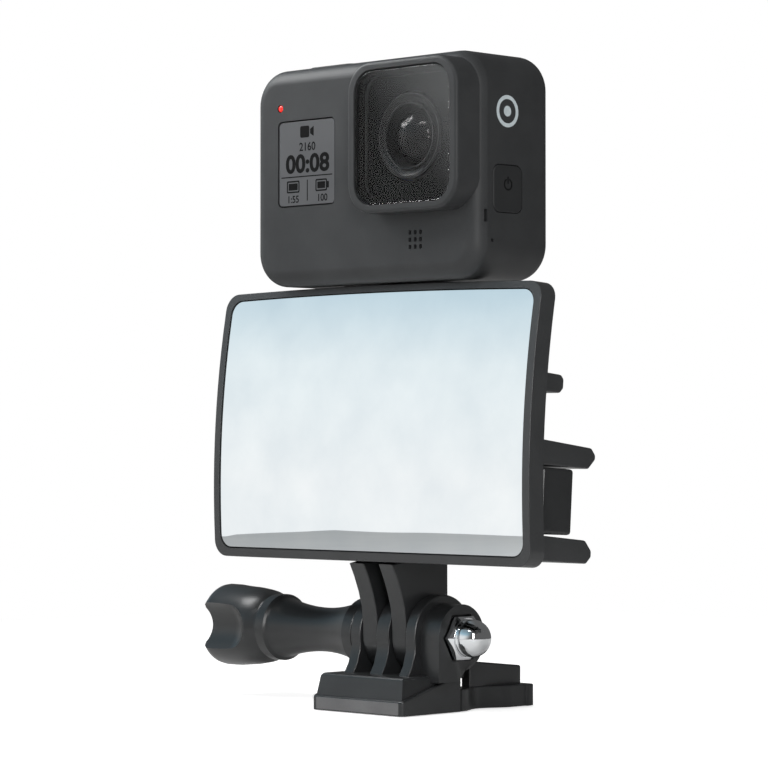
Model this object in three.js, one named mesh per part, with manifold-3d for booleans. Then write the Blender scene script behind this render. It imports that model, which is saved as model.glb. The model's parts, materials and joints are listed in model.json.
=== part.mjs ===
// Action camera on a selfie-mirror bracket with a quick-release buckle.
// Millimetres, +Z up, +X to the right of the lens side, the lens looks along -Y.
// The origin is on the buckle's bottom face, straight below the clamp screw's axis.
import * as THREE from 'three';
import { mergeVertices } from 'three/addons/utils/BufferGeometryUtils.js';
import Module from 'manifold-3d';

const wasm = await Module();
wasm.setup();

// Fits
const gap = 0.3;
const screwHole = 0.35;

// Camera body, measured from a datum in the middle of its width and depth, 24.3 above its bottom
const cameraWidth = 66.3;
const cameraHeight = 46.8;
const cameraDatum = 24.3;
const cameraDepth = 23;
const cameraBottom = 90;
const cameraMidY = -3.5;
const cornerRadius = 7.5;
const frontFillet = 3.6;
const shellWall = 2;
const seamY = -8.5;
const humpSize = 31.4;
const humpDepth = 5.4;
const lensX = 16.7;
const lensZ = 5.25;

// Mirror, measured from the middle of its lower front edge, leaning back
const mirrorWidth = 93;
const mirrorHeight = 57.5;
const mirrorThickness = 4.4;
const mirrorBulge = 2;
const mirrorFrontY = -13.9;
const mirrorBottom = 31.6;
const mirrorLean = THREE.MathUtils.degToRad(3.76);
const glassBorder = 1.8;
const armSpan = [32, 44];

// Clamp at the buckle: prongs side by side on one screw along X
const hingeZ = 15.6;
const outerProng = 9.5;
const tineOuter = 6.35;
const tineInner = 2.12;
const lugRadius = 8.8;
const tineRadius = 8.2;
const bossEnd = 14.7;
const clampScrewRadius = 2.5;

// Clamp below the camera: two folding fingers between three lugs
const upperY = 0.6;
const upperZ = 81.5;
const upperRadius = 6.2;
const fingerInner = 1.7;
const fingerOuter = 4.7;
const upperLugOuter = 8;
const cameraScrewRadius = 2.3;

// Buckle
const buckleHalf = 13.4;
const buckleFront = -16.6;
const buckleRear = 23.6;
const deckZ = 7.8;
const armHeight = 4.7;

// ---- shapes to solids ----

function solid(geometry) {
  geometry.deleteAttribute('normal');
  geometry.deleteAttribute('uv');
  const merged = mergeVertices(geometry, 1e-5);
  return new wasm.Manifold(new wasm.Mesh({
    numProp: 3,
    vertProperties: new Float32Array(merged.attributes.position.array),
    triVerts: new Uint32Array(merged.index.array),
  }));
}

function toGeometry(body) {
  const mesh = body.getMesh();
  const geometry = new THREE.BufferGeometry();
  geometry.setAttribute('position', new THREE.BufferAttribute(new Float32Array(mesh.vertProperties), 3));
  geometry.setIndex(new THREE.BufferAttribute(new Uint32Array(mesh.triVerts), 1));
  geometry.computeVertexNormals();
  return geometry;
}

function join(first, ...others) {
  return others.reduce((sum, other) => sum.add(other), first);
}

function cut(first, ...others) {
  return others.reduce((rest, other) => rest.subtract(other), first);
}

function block(x, y, z) {
  const geometry = new THREE.BoxGeometry(x[1] - x[0], y[1] - y[0], z[1] - z[0]);
  geometry.translate((x[0] + x[1]) / 2, (y[0] + y[1]) / 2, (z[0] + z[1]) / 2);
  return solid(geometry);
}

function round(axis, radius, from, to, a, b, sides = 24) {
  const geometry = new THREE.CylinderGeometry(radius, radius, to - from, sides);
  if (axis === 'x') {
    geometry.rotateZ(-Math.PI / 2);
    geometry.translate((from + to) / 2, a, b);
  } else if (axis === 'y') {
    geometry.translate(a, (from + to) / 2, b);
  } else {
    geometry.rotateX(Math.PI / 2);
    geometry.translate(a, b, (from + to) / 2);
  }
  return solid(geometry);
}

function ring(axis, outer, inner, from, to, a, b, sides = 24) {
  return cut(round(axis, outer, from, to, a, b, sides), round(axis, inner, from - 1, to + 1, a, b, sides));
}

const across = new THREE.Vector3(1, 0, 0);
const back = new THREE.Vector3(0, 1, 0);
const up = new THREE.Vector3(0, 0, 1);

// An outline drawn in (y, z), extruded along X.
function alongX(shape, x0, x1, options = {}) {
  const geometry = new THREE.ExtrudeGeometry(shape, { depth: x1 - x0, bevelEnabled: false, ...options });
  geometry.applyMatrix4(new THREE.Matrix4().makeBasis(back, up, across));
  geometry.translate(x0, 0, 0);
  return solid(geometry);
}

// An outline drawn in (x, z), extruded along Y, with an optional rounded rim at both ends.
function alongY(shape, y0, y1, fillet = 0) {
  const geometry = new THREE.ExtrudeGeometry(shape, {
    depth: y1 - y0 - 2 * fillet,
    bevelEnabled: fillet > 0,
    bevelThickness: fillet,
    bevelSize: fillet,
    bevelOffset: -fillet,
    bevelSegments: 3,
    curveSegments: 6,
  });
  geometry.applyMatrix4(new THREE.Matrix4().makeBasis(across, up, back.clone().negate()));
  geometry.translate(0, y1 - fillet, 0);
  return solid(geometry);
}

// An outline drawn in (x, y), extruded along Z.
function alongZ(shape, z0, z1) {
  const geometry = new THREE.ExtrudeGeometry(shape, { depth: z1 - z0, bevelEnabled: false, curveSegments: 6 });
  geometry.translate(0, 0, z0);
  return solid(geometry);
}

// A profile of [radius, distance along X] points, turned about the X axis.
function turned(points, sides = 32) {
  const geometry = new THREE.LatheGeometry(points.map(([r, x]) => new THREE.Vector2(r, x)), sides);
  geometry.rotateZ(-Math.PI / 2);
  const body = solid(geometry);
  return body.volume() < 0 ? solid(geometry.scale(1, 1, -1)) : body;
}

function outline(points) {
  return new THREE.Shape(points.map(([a, b]) => new THREE.Vector2(a, b)));
}

function roundedRect(cx, cy, width, height, radius) {
  const [x, y] = [cx - width / 2, cy - height / 2];
  const shape = new THREE.Shape();
  shape.moveTo(x + radius, y);
  shape.lineTo(x + width - radius, y);
  shape.absarc(x + width - radius, y + radius, radius, -Math.PI / 2, 0);
  shape.lineTo(x + width, y + height - radius);
  shape.absarc(x + width - radius, y + height - radius, radius, 0, Math.PI / 2);
  shape.lineTo(x + radius, y + height);
  shape.absarc(x + radius, y + height - radius, radius, Math.PI / 2, Math.PI);
  shape.lineTo(x, y + radius);
  shape.absarc(x + radius, y + radius, radius, Math.PI, 1.5 * Math.PI);
  return shape;
}

// ---- looks ----

const finishes = {
  charcoal: { color: 0x3a3b3d, roughness: 0.62, metalness: 0 },
  blackPlastic: { color: 0x232526, roughness: 0.42, metalness: 0 },
  frameGrey: { color: 0x36383a, roughness: 0.5, metalness: 0 },
  rubber: { color: 0x1a1b1c, roughness: 0.8, metalness: 0 },
  chrome: { color: 0xdfe2e4, roughness: 0.08, metalness: 1 },
  steel: { color: 0x9a9da0, roughness: 0.3, metalness: 1 },
  mirror: { color: 0xe8edf0, roughness: 0.03, metalness: 1 },
  darkGlass: { color: 0x101215, roughness: 0.06, metalness: 0 },
  lens: { color: 0x1a0d18, roughness: 0.04, metalness: 0 },
  display: { color: 0x6e6f71, roughness: 0.4, metalness: 0 },
  redLight: { color: 0xd8261c, roughness: 0.3, metalness: 0 },
  board: { color: 0x1f4a36, roughness: 0.5, metalness: 0 },
  alloy: { color: 0xb4b7ba, roughness: 0.4, metalness: 1 },
  cell: { color: 0x2a4f8a, roughness: 0.5, metalness: 0 },
  foam: { color: 0x2d2d2d, roughness: 0.9, metalness: 0 },
};

const group = new THREE.Group();
const buckle = new THREE.Group();
const clamp = new THREE.Group();
const mirror = new THREE.Group();
const camera = new THREE.Group();
clamp.position.z = hingeZ;
mirror.position.set(0, mirrorFrontY, mirrorBottom);
mirror.rotation.x = -mirrorLean;
camera.position.set(0, cameraMidY, cameraBottom + cameraDatum);
group.add(buckle, clamp, mirror, camera);

function addPart(parent, name, body, finish) {
  const mesh = new THREE.Mesh(toGeometry(body), new THREE.MeshStandardMaterial(finishes[finish]));
  mesh.name = name;
  parent.add(mesh);
}

// ---- buckle: wedge, three lugs, nut boss and centre plate in one moulding ----

function makeBuckle() {
  const toeHeight = 3;
  const draft = 1.4;
  const deckRear = 1;
  const sideWall = outline([[buckleFront, 0], [deckRear, 0], [deckRear, 7.3], [-1, 7.3], [buckleFront, toeHeight]]);
  const skirt = alongX(sideWall, -buckleHalf, buckleHalf);
  const wedgeSide = outline([
    [buckleFront, 0], [deckRear, 0], [deckRear, deckZ], [buckleFront + draft, deckZ], [buckleFront, toeHeight],
  ]);
  const wedgeFront = outline([
    [-buckleHalf, 0], [buckleHalf, 0], [buckleHalf, toeHeight], [buckleHalf - draft, deckZ],
    [-buckleHalf + draft, deckZ], [-buckleHalf, toeHeight],
  ]);
  const wedge = alongX(wedgeSide, -buckleHalf, buckleHalf).intersect(alongY(wedgeFront, buckleFront - 1, deckRear + 1));
  const lugSide = outline([
    [-11.6, deckZ - 1], [6.4, deckZ - 1], [6.4, hingeZ - 5], [4, hingeZ], [-lugRadius + 0.4, hingeZ],
  ]);
  const lugSpans = [
    [-outerProng, -tineOuter - gap], [-tineInner + gap, tineInner - gap], [tineOuter + gap, outerProng],
  ];
  const lugs = lugSpans.map(([x0, x1]) => join(round('x', lugRadius, x0, x1, 0, hingeZ), alongX(lugSide, x0, x1)));
  const bossRadius = 7;
  const bossStart = outerProng - 1;
  const bossSide = outline([
    [-bossRadius, deckZ - 1], [-1, deckZ - 1], [3, hingeZ - 5], [3, hingeZ], [-bossRadius, hingeZ],
  ]);
  const boss = join(round('x', bossRadius, bossStart, bossEnd, 0, hingeZ), alongX(bossSide, bossStart, bossEnd));
  const underBoss = block([buckleHalf - 0.2, bossEnd + 1], [-10, 10], [0, deckZ + 0.6]);
  const tail = alongZ(roundedRect(0, 9.5, 11.8, 21, 2), 0, 3.2);
  const swing = [[-tineOuter - gap, -tineInner + gap], [tineInner - gap, tineOuter + gap]].map(
    ([x0, x1]) => round('x', tineRadius + 0.5, x0, x1, 0, hingeZ),
  );
  return cut(
    join(skirt, wedge, ...lugs, boss.subtract(underBoss), tail),
    ...swing,
    round('x', clampScrewRadius + screwHole, -12, bossEnd + 1, 0, hingeZ),
    round('x', 5.6, bossEnd - 1.1, bossEnd + 1, 0, hingeZ, 6),
  );
}

// Release arms squeeze towards the centre plate and carry a raised finger wall.
function makeReleaseArm(side) {
  const plan = outline([
    [7.9, 1.3], [buckleHalf, 1.3], [12.6, 5], [11.2, 8.4], [10.8, 11], [11.4, 13.3], [12.9, 15.2],
    [buckleHalf, 17], [buckleHalf, 21.4], [14, 21.4], [14, buckleRear - 0.4], [13.6, buckleRear], [7.9, buckleRear],
  ]);
  const wall = outline([[7, 4], [23.2, 4], [23.2, 8.5], [7, 10.2]]);
  const arm = join(alongZ(plan, 0, armHeight), alongX(wall, 7.9, 10.5));
  return side > 0 ? arm : arm.mirror([1, 0, 0]);
}

addPart(buckle, 'buckle_base', makeBuckle(), 'blackPlastic');
addPart(buckle, 'release_arm_left', makeReleaseArm(-1), 'blackPlastic');
addPart(buckle, 'release_arm_right', makeReleaseArm(1), 'blackPlastic');

// ---- clamp screw, knob, washer and acorn nut, all about the clamp axis ----

const washerX = [-outerProng - 1, -outerProng - gap];
const collarX = washerX[0] - gap;

function makeKnob() {
  const headStart = -40.2;
  const headEnd = -59.3;
  const waist = (x) => 4.8 + 2.9 * ((x + 25.4) / 14) ** 2 * (x > -25.4 ? 1 : 0.75);
  const neck = [-37.5, -34, -30, -25.4, -21, -17, -14.6].map((x) => [Math.min(waist(x), 6.9), x]);
  const boreEnd = -33;
  const stem = turned([
    [0, headEnd + 6], [6.2, headEnd + 6], [6.9, headStart - 1], [7.2, headStart], [7.2, -38], ...neck,
    [6.6, -14.2], [7.4, -13.8], [7.4, collarX], [clampScrewRadius + screwHole, collarX],
    [clampScrewRadius + screwHole, boreEnd], [0, boreEnd],
  ]);
  const lobes = new THREE.Shape();
  const steps = 36;
  for (let i = 0; i < steps; i += 1) {
    const angle = (i / steps) * 2 * Math.PI;
    const radius = 7.3 + 1.8 * Math.cos(3 * angle);
    lobes[i === 0 ? 'moveTo' : 'lineTo'](radius * Math.cos(angle), radius * Math.sin(angle));
  }
  const rim = 1.4;
  const head = alongX(lobes, headEnd + rim, headStart - 3 - rim, {
    bevelEnabled: true,
    bevelThickness: rim,
    bevelSize: rim,
    bevelOffset: -rim,
    bevelSegments: 2,
  });
  const scoop = turned([[0, headEnd + 3.6], [6.4, headEnd - 0.5], [0, headEnd - 0.5]], 24);
  return cut(join(stem, head), scoop);
}

addPart(clamp, 'clamp_knob', makeKnob(), 'blackPlastic');
addPart(clamp, 'clamp_screw', turned([
  [0, -32.6], [clampScrewRadius, -32.6], [clampScrewRadius, 16.6], [1.9, 17.4], [0, 17.4],
], 20), 'steel');
addPart(clamp, 'clamp_washer', ring('x', 6.4, clampScrewRadius + screwHole, ...washerX, 0, 0), 'steel');

function makeAcornNut() {
  const dome = 3.9;
  const domeCentre = 17.8;
  const arc = [0, 18, 36, 54, 72].map((deg) => {
    const a = THREE.MathUtils.degToRad(deg);
    return [dome * Math.cos(a), domeCentre + dome * Math.sin(a)];
  });
  const cap = turned([
    [clampScrewRadius + screwHole, 14], [4.6, 14], [4.6, 15.2], [dome, 15.8], ...arc, [0, domeCentre + dome],
    [0, 18.4], [clampScrewRadius + screwHole, 18.4], [clampScrewRadius + screwHole, 14],
  ], 24);
  const flange = ring('x', 5.2, clampScrewRadius + screwHole + 0.1, 13.95, 15.1, 0, 0, 6);
  return cap.add(flange);
}

addPart(clamp, 'acorn_nut', makeAcornNut(), 'chrome');

// ---- bracket: two tines, a stem behind the mirror, a cross bar and the camera's three lugs ----

const leanMatrix = new THREE.Matrix4()
  .makeTranslation(0, mirrorFrontY, mirrorBottom)
  .multiply(new THREE.Matrix4().makeRotationX(-mirrorLean));

function leaning(body) {
  return body.transform(leanMatrix.elements);
}

function makeBracket() {
  const tineSide = outline([
    [-tineRadius, hingeZ], [-8.3, 22.2], [-12.3, 31], [-8.9, 31], [-8.7, 34], [4.7, 34], [4.7, 22.3], [5, hingeZ],
  ]);
  const tines = [[-tineOuter, -tineInner], [tineInner, tineOuter]].map(([x0, x1]) => join(
    round('x', tineRadius, x0, x1, 0, hingeZ, 32),
    alongX(tineSide, x0, x1),
  ));
  const stemSide = outline([
    [-8.75, 33], [4.7, 33], [4.7, 40], [2.4, 54], [3.2, 62], [5.4, 70], [6, 76], [-5.2, 76], [-6.1, 73],
  ]);
  const stem = alongX(stemSide, -tineOuter, tineOuter);
  const head = alongX(outline([[-6.1, 66], [3.6, 66], [5.4, 70], [6.4, 75.2], [-5.3, 75.2], [-6.1, 71]]),
    -upperLugOuter, upperLugOuter);
  const lugSide = outline([[-5.4, 74], [6.4, 74], [upperY + upperRadius, upperZ], [upperY - upperRadius, upperZ]]);
  const middle = fingerInner - gap;
  const lugs = [[-upperLugOuter, -fingerOuter - gap], [-middle, middle], [fingerOuter + gap, upperLugOuter]];
  const upper = lugs.map(([x0, x1]) => join(
    round('x', upperRadius, x0, x1, upperY, upperZ),
    alongX(lugSide, x0, x1),
  ));
  const fingerSwing = [-1, 1].map((side) => {
    const ends = [side * middle, side * (fingerOuter + gap)].sort((a, b) => a - b);
    return round('x', upperRadius + 0.5, ends[0], ends[1], upperY, upperZ);
  });
  const bar = leaning(block([-44.3, 44.3], [5.2, 14.45], [7, 20.4]));
  const gusset = leaning(alongZ(outline([[-20, 6], [20, 6], [6.3, 16.4], [-6.3, 16.4]]), 7, 20.4));
  const slot = block([-tineInner, tineInner], [-14, 10], [0, 31.4]);
  return cut(
    join(...tines, stem, head, ...upper, bar, gusset),
    slot,
    ...fingerSwing,
    round('x', clampScrewRadius + screwHole, -9, 9, 0, hingeZ),
    round('x', cameraScrewRadius + screwHole, -12, 12, upperY, upperZ),
  );
}

addPart(group, 'bracket', makeBracket(), 'blackPlastic');

// Cross screw, its knurled head, washer and nut at the camera's fingers.
const cameraClamp = new THREE.Group();
cameraClamp.position.set(0, upperY, upperZ);
group.add(cameraClamp);
addPart(cameraClamp, 'camera_screw', round('x', cameraScrewRadius, -16, 11.6, 0, 0, 20), 'steel');
addPart(cameraClamp, 'camera_washer', ring(
  'x', 5, cameraScrewRadius + screwHole, -upperLugOuter - 3 * gap, -upperLugOuter - gap, 0, 0,
), 'steel');
addPart(cameraClamp, 'camera_screw_knob', cut(
  round('x', 5.6, -17.8, -upperLugOuter - 4 * gap, 0, 0, 12),
  round('x', cameraScrewRadius + screwHole, -16.3, 0, 0, 0),
), 'blackPlastic');
addPart(cameraClamp, 'camera_screw_nut', cut(
  round('x', 5, upperLugOuter + gap, 12.2, 0, 0, 6),
  round('x', cameraScrewRadius + screwHole, 0, 11.9, 0, 0),
), 'steel');

// ---- mirror: bowed frame with clip arms, pad and convex glass, in the leaning frame ----

function bowed(from, to, shift = 0) {
  const steps = 10;
  const bow = (z) => -mirrorBulge * (1 - ((z - mirrorHeight / 2) / (mirrorHeight / 2)) ** 2);
  const zs = Array.from({ length: steps + 1 }, (_, i) => -1 + (i / steps) * (mirrorHeight + 2));
  const front = zs.map((z) => [bow(z) + from, z]);
  const rear = zs.map((z) => [bow(z) + to, z]).reverse();
  return alongX(outline([...rear, ...front].reverse()), -mirrorWidth / 2 - 1 + shift, mirrorWidth / 2 + 1);
}

function mirrorOutline(inset, radius) {
  const crown = 0.7;
  const [x, top] = [mirrorWidth / 2 - inset, mirrorHeight - inset * 0.8];
  const shape = new THREE.Shape();
  shape.moveTo(-x + radius, inset);
  shape.lineTo(x - radius, inset);
  shape.absarc(x - radius, inset + radius, radius, -Math.PI / 2, 0);
  shape.lineTo(x, top - radius);
  shape.absarc(x - radius, top - radius, radius, 0, Math.PI / 2);
  for (let i = 1; i < 6; i += 1) {
    const t = 1 - i / 3;
    shape.lineTo(t * (x - radius), top + crown * (1 - t * t));
  }
  shape.lineTo(-x + radius, top);
  shape.absarc(-x + radius, top - radius, radius, Math.PI / 2, Math.PI);
  shape.lineTo(-x, inset + radius);
  shape.absarc(-x + radius, inset + radius, radius, Math.PI, 1.5 * Math.PI);
  return shape;
}

function mirrorLayer(inset, radius, from, to) {
  return bowed(from, to).intersect(alongY(mirrorOutline(inset, radius), -6, 12));
}

function makeMirrorFrame() {
  const pocket = mirrorLayer(glassBorder, 3, -3, 2.6);
  const middleArm = [[1.6, 20.8], [19, 20.7], [21.3, 22.9], [21.3, 23.9], [19.8, 25], [1.6, 26.1]];
  const lowerArm = [[3, 1.4], [19.8, 1.4], [21.2, 2.9], [21.2, 4], [19.3, 6.3], [3, 6.7]];
  const upperRest = [[1.6, 35.6], [9.4, 35.6], [10.5, 37], [10.5, 38.4], [10, 39.1], [1.6, 39.6]];
  const arms = [];
  for (const side of [-1, 1]) {
    const [x0, x1] = armSpan.map((x) => side * x).sort((a, b) => a - b);
    for (const profile of [middleArm, lowerArm, upperRest]) {
      arms.push(alongX(outline(profile), x0, x1));
    }
  }
  return join(cut(mirrorLayer(0, 3.4, 0, mirrorThickness), pocket), ...arms);
}

addPart(mirror, 'mirror_frame', makeMirrorFrame(), 'frameGrey');
addPart(mirror, 'mirror_pad', mirrorLayer(glassBorder + 0.6, 2.6, 1.75, 2.3), 'foam');
addPart(mirror, 'mirror_glass', mirrorLayer(glassBorder + 0.3, 2.8, 0.25, 1.45), 'mirror');

// ---- camera shells ----

const halfWidth = cameraWidth / 2;
const bottomZ = -cameraDatum;
const topZ = cameraHeight - cameraDatum;
const halfDepth = cameraDepth / 2;
const displayX = -16.7;
const displayZ = 1.9;
const fingerRecess = { x: 15.5, y: [-5.7 - cameraMidY, 6.9 - cameraMidY], depth: 3.2 };
const doorY = [-6.6, 7.4];
const doorZ = [-16.6, 16.6];

function bodyBlock(inset) {
  const size = [cameraWidth - 2 * inset, cameraHeight - 2 * inset];
  const shape = roundedRect(0, (topZ + bottomZ) / 2, ...size, cornerRadius - inset);
  return alongY(shape, -halfDepth + inset, halfDepth - inset, frontFillet - inset);
}

function humpPrism(inset, y0, y1, radius) {
  const size = humpSize - 2 * inset;
  return alongY(roundedRect(lensX, lensZ, size, size, radius), y0, y1);
}

function makeFrontShell() {
  const keep = block([-halfWidth - 1, halfWidth + 1], [-halfDepth - 1, seamY], [bottomZ - 1, topZ + 1]);
  const skin = cut(bodyBlock(0), bodyBlock(shellWall)).intersect(keep);
  const displayPocket = alongY(roundedRect(displayX, displayZ, 17.5, 18.6, 1.2), -halfDepth - 1, -halfDepth + 1.2);
  const displayWindow = alongY(roundedRect(displayX, displayZ, 14.8, 16, 0.8), -halfDepth - 1, -halfDepth + 3);
  const lightHole = round('y', 1, -halfDepth - 1, -halfDepth + 3, -24.7, 14, 12);
  const grille = [];
  for (const column of [-1, 0, 1]) {
    for (const row of [-1, 0, 1]) {
      const [x, z] = [15.6 + column * 1.5, -15.95 + row * 1.5];
      grille.push(block([x - 0.42, x + 0.42], [-halfDepth - 1, -halfDepth + 3], [z - 0.45, z + 0.45]));
    }
  }
  const micSlot = block([halfWidth - 3, halfWidth + 1], [seamY - 0.7, seamY + 1], [-13, -10.4]);
  const humpOpening = humpPrism(-gap, -halfDepth - 1, seamY + 1, 6.6);
  return cut(skin, displayPocket, displayWindow, lightHole, ...grille, micSlot, humpOpening);
}

function makeRearShell() {
  const keep = block([-halfWidth - 1, halfWidth + 1], [seamY + gap, halfDepth + 1], [bottomZ - 1, topZ + 1]);
  const skin = cut(bodyBlock(0), bodyBlock(shellWall)).intersect(keep);
  const recess = fingerRecess;
  const floorBox = block(
    [-recess.x - 1.6, recess.x + 1.6],
    [recess.y[0] - 1.6, recess.y[1] + 0.4],
    [bottomZ + 0.5, bottomZ + recess.depth + 1.6],
  );
  const recessCut = block(
    [-recess.x, recess.x],
    recess.y,
    [bottomZ - 1, bottomZ + recess.depth],
  );
  const shutterHole = alongZ(roundedRect(-17.1, 0, 15.6, 9.2, 3), topZ - 3, topZ + 1);
  const modeHole = block([halfWidth - 3, halfWidth + 1], [-7.2, 2.2], [-11.2, -0.8]);
  const doorHole = block([-halfWidth - 1, -halfWidth + 3], doorY, doorZ);
  const screenPocket = alongY(roundedRect(0, -0.4, 50, 33, 2), halfDepth - 3, halfDepth + 1);
  const pinHole = round('x', 0.5, halfWidth - 3, halfWidth + 1, -7.1, -16.7, 10);
  const fingerPins = [-1, 1].map((side) => round(
    'y', 1.1, recess.y[0] - 1.1, recess.y[1] + 0.8, side * (fingerInner + fingerOuter) / 2, bottomZ + 1.6, 12,
  ));
  return cut(join(skin, floorBox), recessCut, shutterHole, modeHole, doorHole, screenPocket, pinHole, ...fingerPins);
}

addPart(camera, 'front_shell', makeFrontShell(), 'charcoal');
addPart(camera, 'rear_shell', makeRearShell(), 'charcoal');

// ---- lens housing and optics ----

const humpFront = -halfDepth - humpDepth;

function makeLensHousing() {
  const outer = alongY(roundedRect(lensX, lensZ, humpSize, humpSize, 6.4), humpFront, seamY + 3, 0.9);
  const tube = outer.intersect(block([-50, 50], [humpFront - 1, seamY - gap], [-50, 50]));
  return cut(
    tube,
    alongY(roundedRect(lensX, lensZ, 27.4, 28.2, 4.8), humpFront - 1, humpFront + 2.2),
    alongY(roundedRect(lensX, lensZ, 24.6, 25.4, 3.8), humpFront, seamY + 4),
  );
}

addPart(camera, 'lens_housing', makeLensHousing(), 'charcoal');
addPart(camera, 'lens_gasket', cut(
  alongY(roundedRect(lensX, lensZ, 27, 27.8, 4.6), humpFront + 1.5, humpFront + 2.05),
  alongY(roundedRect(lensX, lensZ, 24.2, 25, 3.6), humpFront, humpFront + 4),
), 'rubber');
addPart(camera, 'lens_cover_glass', alongY(roundedRect(lensX, lensZ, 26.8, 27.6, 4.5), humpFront + 0.15, humpFront + 1.35),
  'darkGlass');
addPart(camera, 'lens_mask', cut(
  alongY(roundedRect(lensX, lensZ, 24, 24.8, 3.4), humpFront + 2.3, humpFront + 3.1),
  round('y', 9.2, humpFront, humpFront + 5, lensX, lensZ, 32),
), 'rubber');

function aboutLens(body) {
  const turn = new THREE.Matrix4().makeRotationZ(Math.PI / 2);
  const place = new THREE.Matrix4().makeTranslation(lensX, 0, lensZ).multiply(turn);
  return body.transform(place.elements);
}

const ringFront = humpFront + 1.7;
addPart(camera, 'lens_barrel', aboutLens(turned([
  [6.4, ringFront + 0.9], [8.9, ringFront], [8.9, ringFront + 4], [7.6, ringFront + 4.4], [7.6, 1.4],
  [3, 1.4], [3, -2], [6.4, -4], [6.4, ringFront + 0.9],
].reverse(), 32)), 'blackPlastic');
addPart(camera, 'lens_dome', aboutLens(turned([
  [0, ringFront + 0.3], [2.4, ringFront + 0.62], [4.4, ringFront + 1.7], [5.6, ringFront + 3.2], [6.1, ringFront + 4.6],
  [0, ringFront + 4.6],
].reverse(), 32)), 'lens');
addPart(camera, 'rear_lens_element', aboutLens(turned([
  [0, -4.4], [3.6, -5], [4.6, -6], [4.6, -6.9], [0, -8],
], 24)), 'lens');
addPart(camera, 'image_sensor', block([lensX - 4, lensX + 4], [1.7, 2.3], [lensZ - 3.4, lensZ + 3.4]), 'darkGlass');
addPart(camera, 'sensor_board', block([lensX - 8, lensX + 8], [2.6, 3.4], [lensZ - 8, lensZ + 8]), 'board');

// ---- front display, light and speaker ----

addPart(camera, 'display_window', alongY(roundedRect(displayX, displayZ, 16.9, 18, 1), -halfDepth + 0.15, -halfDepth + 0.9),
  'display');
addPart(camera, 'display_panel', alongY(roundedRect(displayX, displayZ, 19, 20, 1), -halfDepth + 2.3, -halfDepth + 3.3),
  'darkGlass');
addPart(camera, 'status_light', round('y', 0.7, -halfDepth - 0.05, -halfDepth + 2.2, -24.7, 14, 12), 'redLight');
addPart(camera, 'speaker', block([10, 21.2], [-halfDepth + 2.4, -4.2], [-19.4, -12.6]), 'blackPlastic');

// ---- buttons and their switches ----

addPart(camera, 'shutter_button', join(
  alongZ(roundedRect(-17.1, 0, 15, 8.6, 2.7), topZ - 1.4, topZ + 0.9),
  round('z', 1.6, topZ - 2.9, topZ - 1, -17.1, 0, 12),
), 'charcoal');
addPart(camera, 'shutter_switch', block([-19.6, -14.6], [-2.5, 2.5], [topZ - 5.6, topZ - 3.9]), 'alloy');
addPart(camera, 'mode_button', join(
  block([halfWidth - 1.3, halfWidth + 0.15], [-6.85, 1.85], [-10.85, -1.15]),
  round('x', 1.4, halfWidth - 2.8, halfWidth - 1, -2.5, -6, 12),
), 'rubber');
addPart(camera, 'mode_switch', block([halfWidth - 4.4, halfWidth - 3.6], [-4.5, -0.5], [-8, -4]), 'alloy');

// ---- side door with its hinge pin, latch and seal ----

const doorPin = { x: -halfWidth + 1.3, z: doorZ[0] + 1.6 };
const latchZ = [5, 15];

function makeDoor() {
  const [y0, y1] = [doorY[0] + gap, doorY[1] - gap];
  const plate = block([-halfWidth, -halfWidth + 1.5], [y0, y1], [doorPin.z, doorZ[1] - gap]);
  const knuckle = round('y', 1.2, y0, y1, doorPin.x, doorPin.z, 16);
  const latchPocket = block([-halfWidth - 1, -halfWidth + 0.8], [-2.6, 3.4], latchZ);
  return cut(join(plate, knuckle), round('y', 0.75, y0 - 1, y1 + 1, doorPin.x, doorPin.z, 12), latchPocket);
}

function makeLatch() {
  const pad = block([-halfWidth + 0.25, -halfWidth + 0.65], [-2.2, 3], [latchZ[0] + 2.6, latchZ[1] - gap]);
  const ribs = [0, 1, 2].map((i) => {
    const z = latchZ[0] + 4.4 + i * 1.6;
    return block([-halfWidth - 0.1, -halfWidth + 0.35], [-1.6, 2.4], [z, z + 0.7]);
  });
  return join(pad, ...ribs);
}

addPart(camera, 'side_door', makeDoor(), 'charcoal');
addPart(camera, 'door_pin', round('y', 0.6, doorY[0] + 0.1, doorY[1] - 0.1, doorPin.x, doorPin.z, 12), 'steel');
addPart(camera, 'door_latch', makeLatch(), 'charcoal');
addPart(camera, 'door_seal', cut(
  block([-halfWidth + 1.8, -halfWidth + 2.4], [-6, 6.8], [doorPin.z + 2, doorZ[1] - 0.6]),
  block([-halfWidth, -halfWidth + 4], [-4.8, 5.6], [doorPin.z + 3.2, doorZ[1] - 1.8]),
), 'foam');

// ---- inside the door: battery, card and socket; behind them the boards and the rear display ----

addPart(camera, 'battery', alongX(outline([
  [-6.2, -14.6], [4.6, -14.6], [4.6, 7.2], [3.8, 8], [-5.4, 8], [-6.2, 7.2],
]), -29.5, 4), 'cell');
addPart(camera, 'memory_card', alongZ(outline([
  [-29.8, -6], [-15, -6], [-15, 3.2], [-16.6, 4.8], [-29.8, 4.8],
]), 9, 9.8), 'blackPlastic');
addPart(camera, 'usb_socket', cut(
  block([-29.5, -22], [-4.4, 4.4], [11.2, 14.4]),
  block([-30, -24], [-3.9, 3.9], [11.7, 13.9]),
), 'steel');
addPart(camera, 'heat_spreader', block([-28, 28], [5.2, 5.8], [-18, 18]), 'alloy');
addPart(camera, 'main_board', block([-28, 28], [6.6, 7.6], [-19, 19]), 'board');
addPart(camera, 'rear_display_panel', alongY(roundedRect(0, -0.4, 48, 31, 1), 8, 8.9), 'darkGlass');
addPart(camera, 'rear_display_glass', alongY(roundedRect(0, -0.4, 49.4, 32.4, 1.7), halfDepth - 1.8, halfDepth - 0.2),
  'darkGlass');

// ---- folding fingers on their root pins ----

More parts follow.
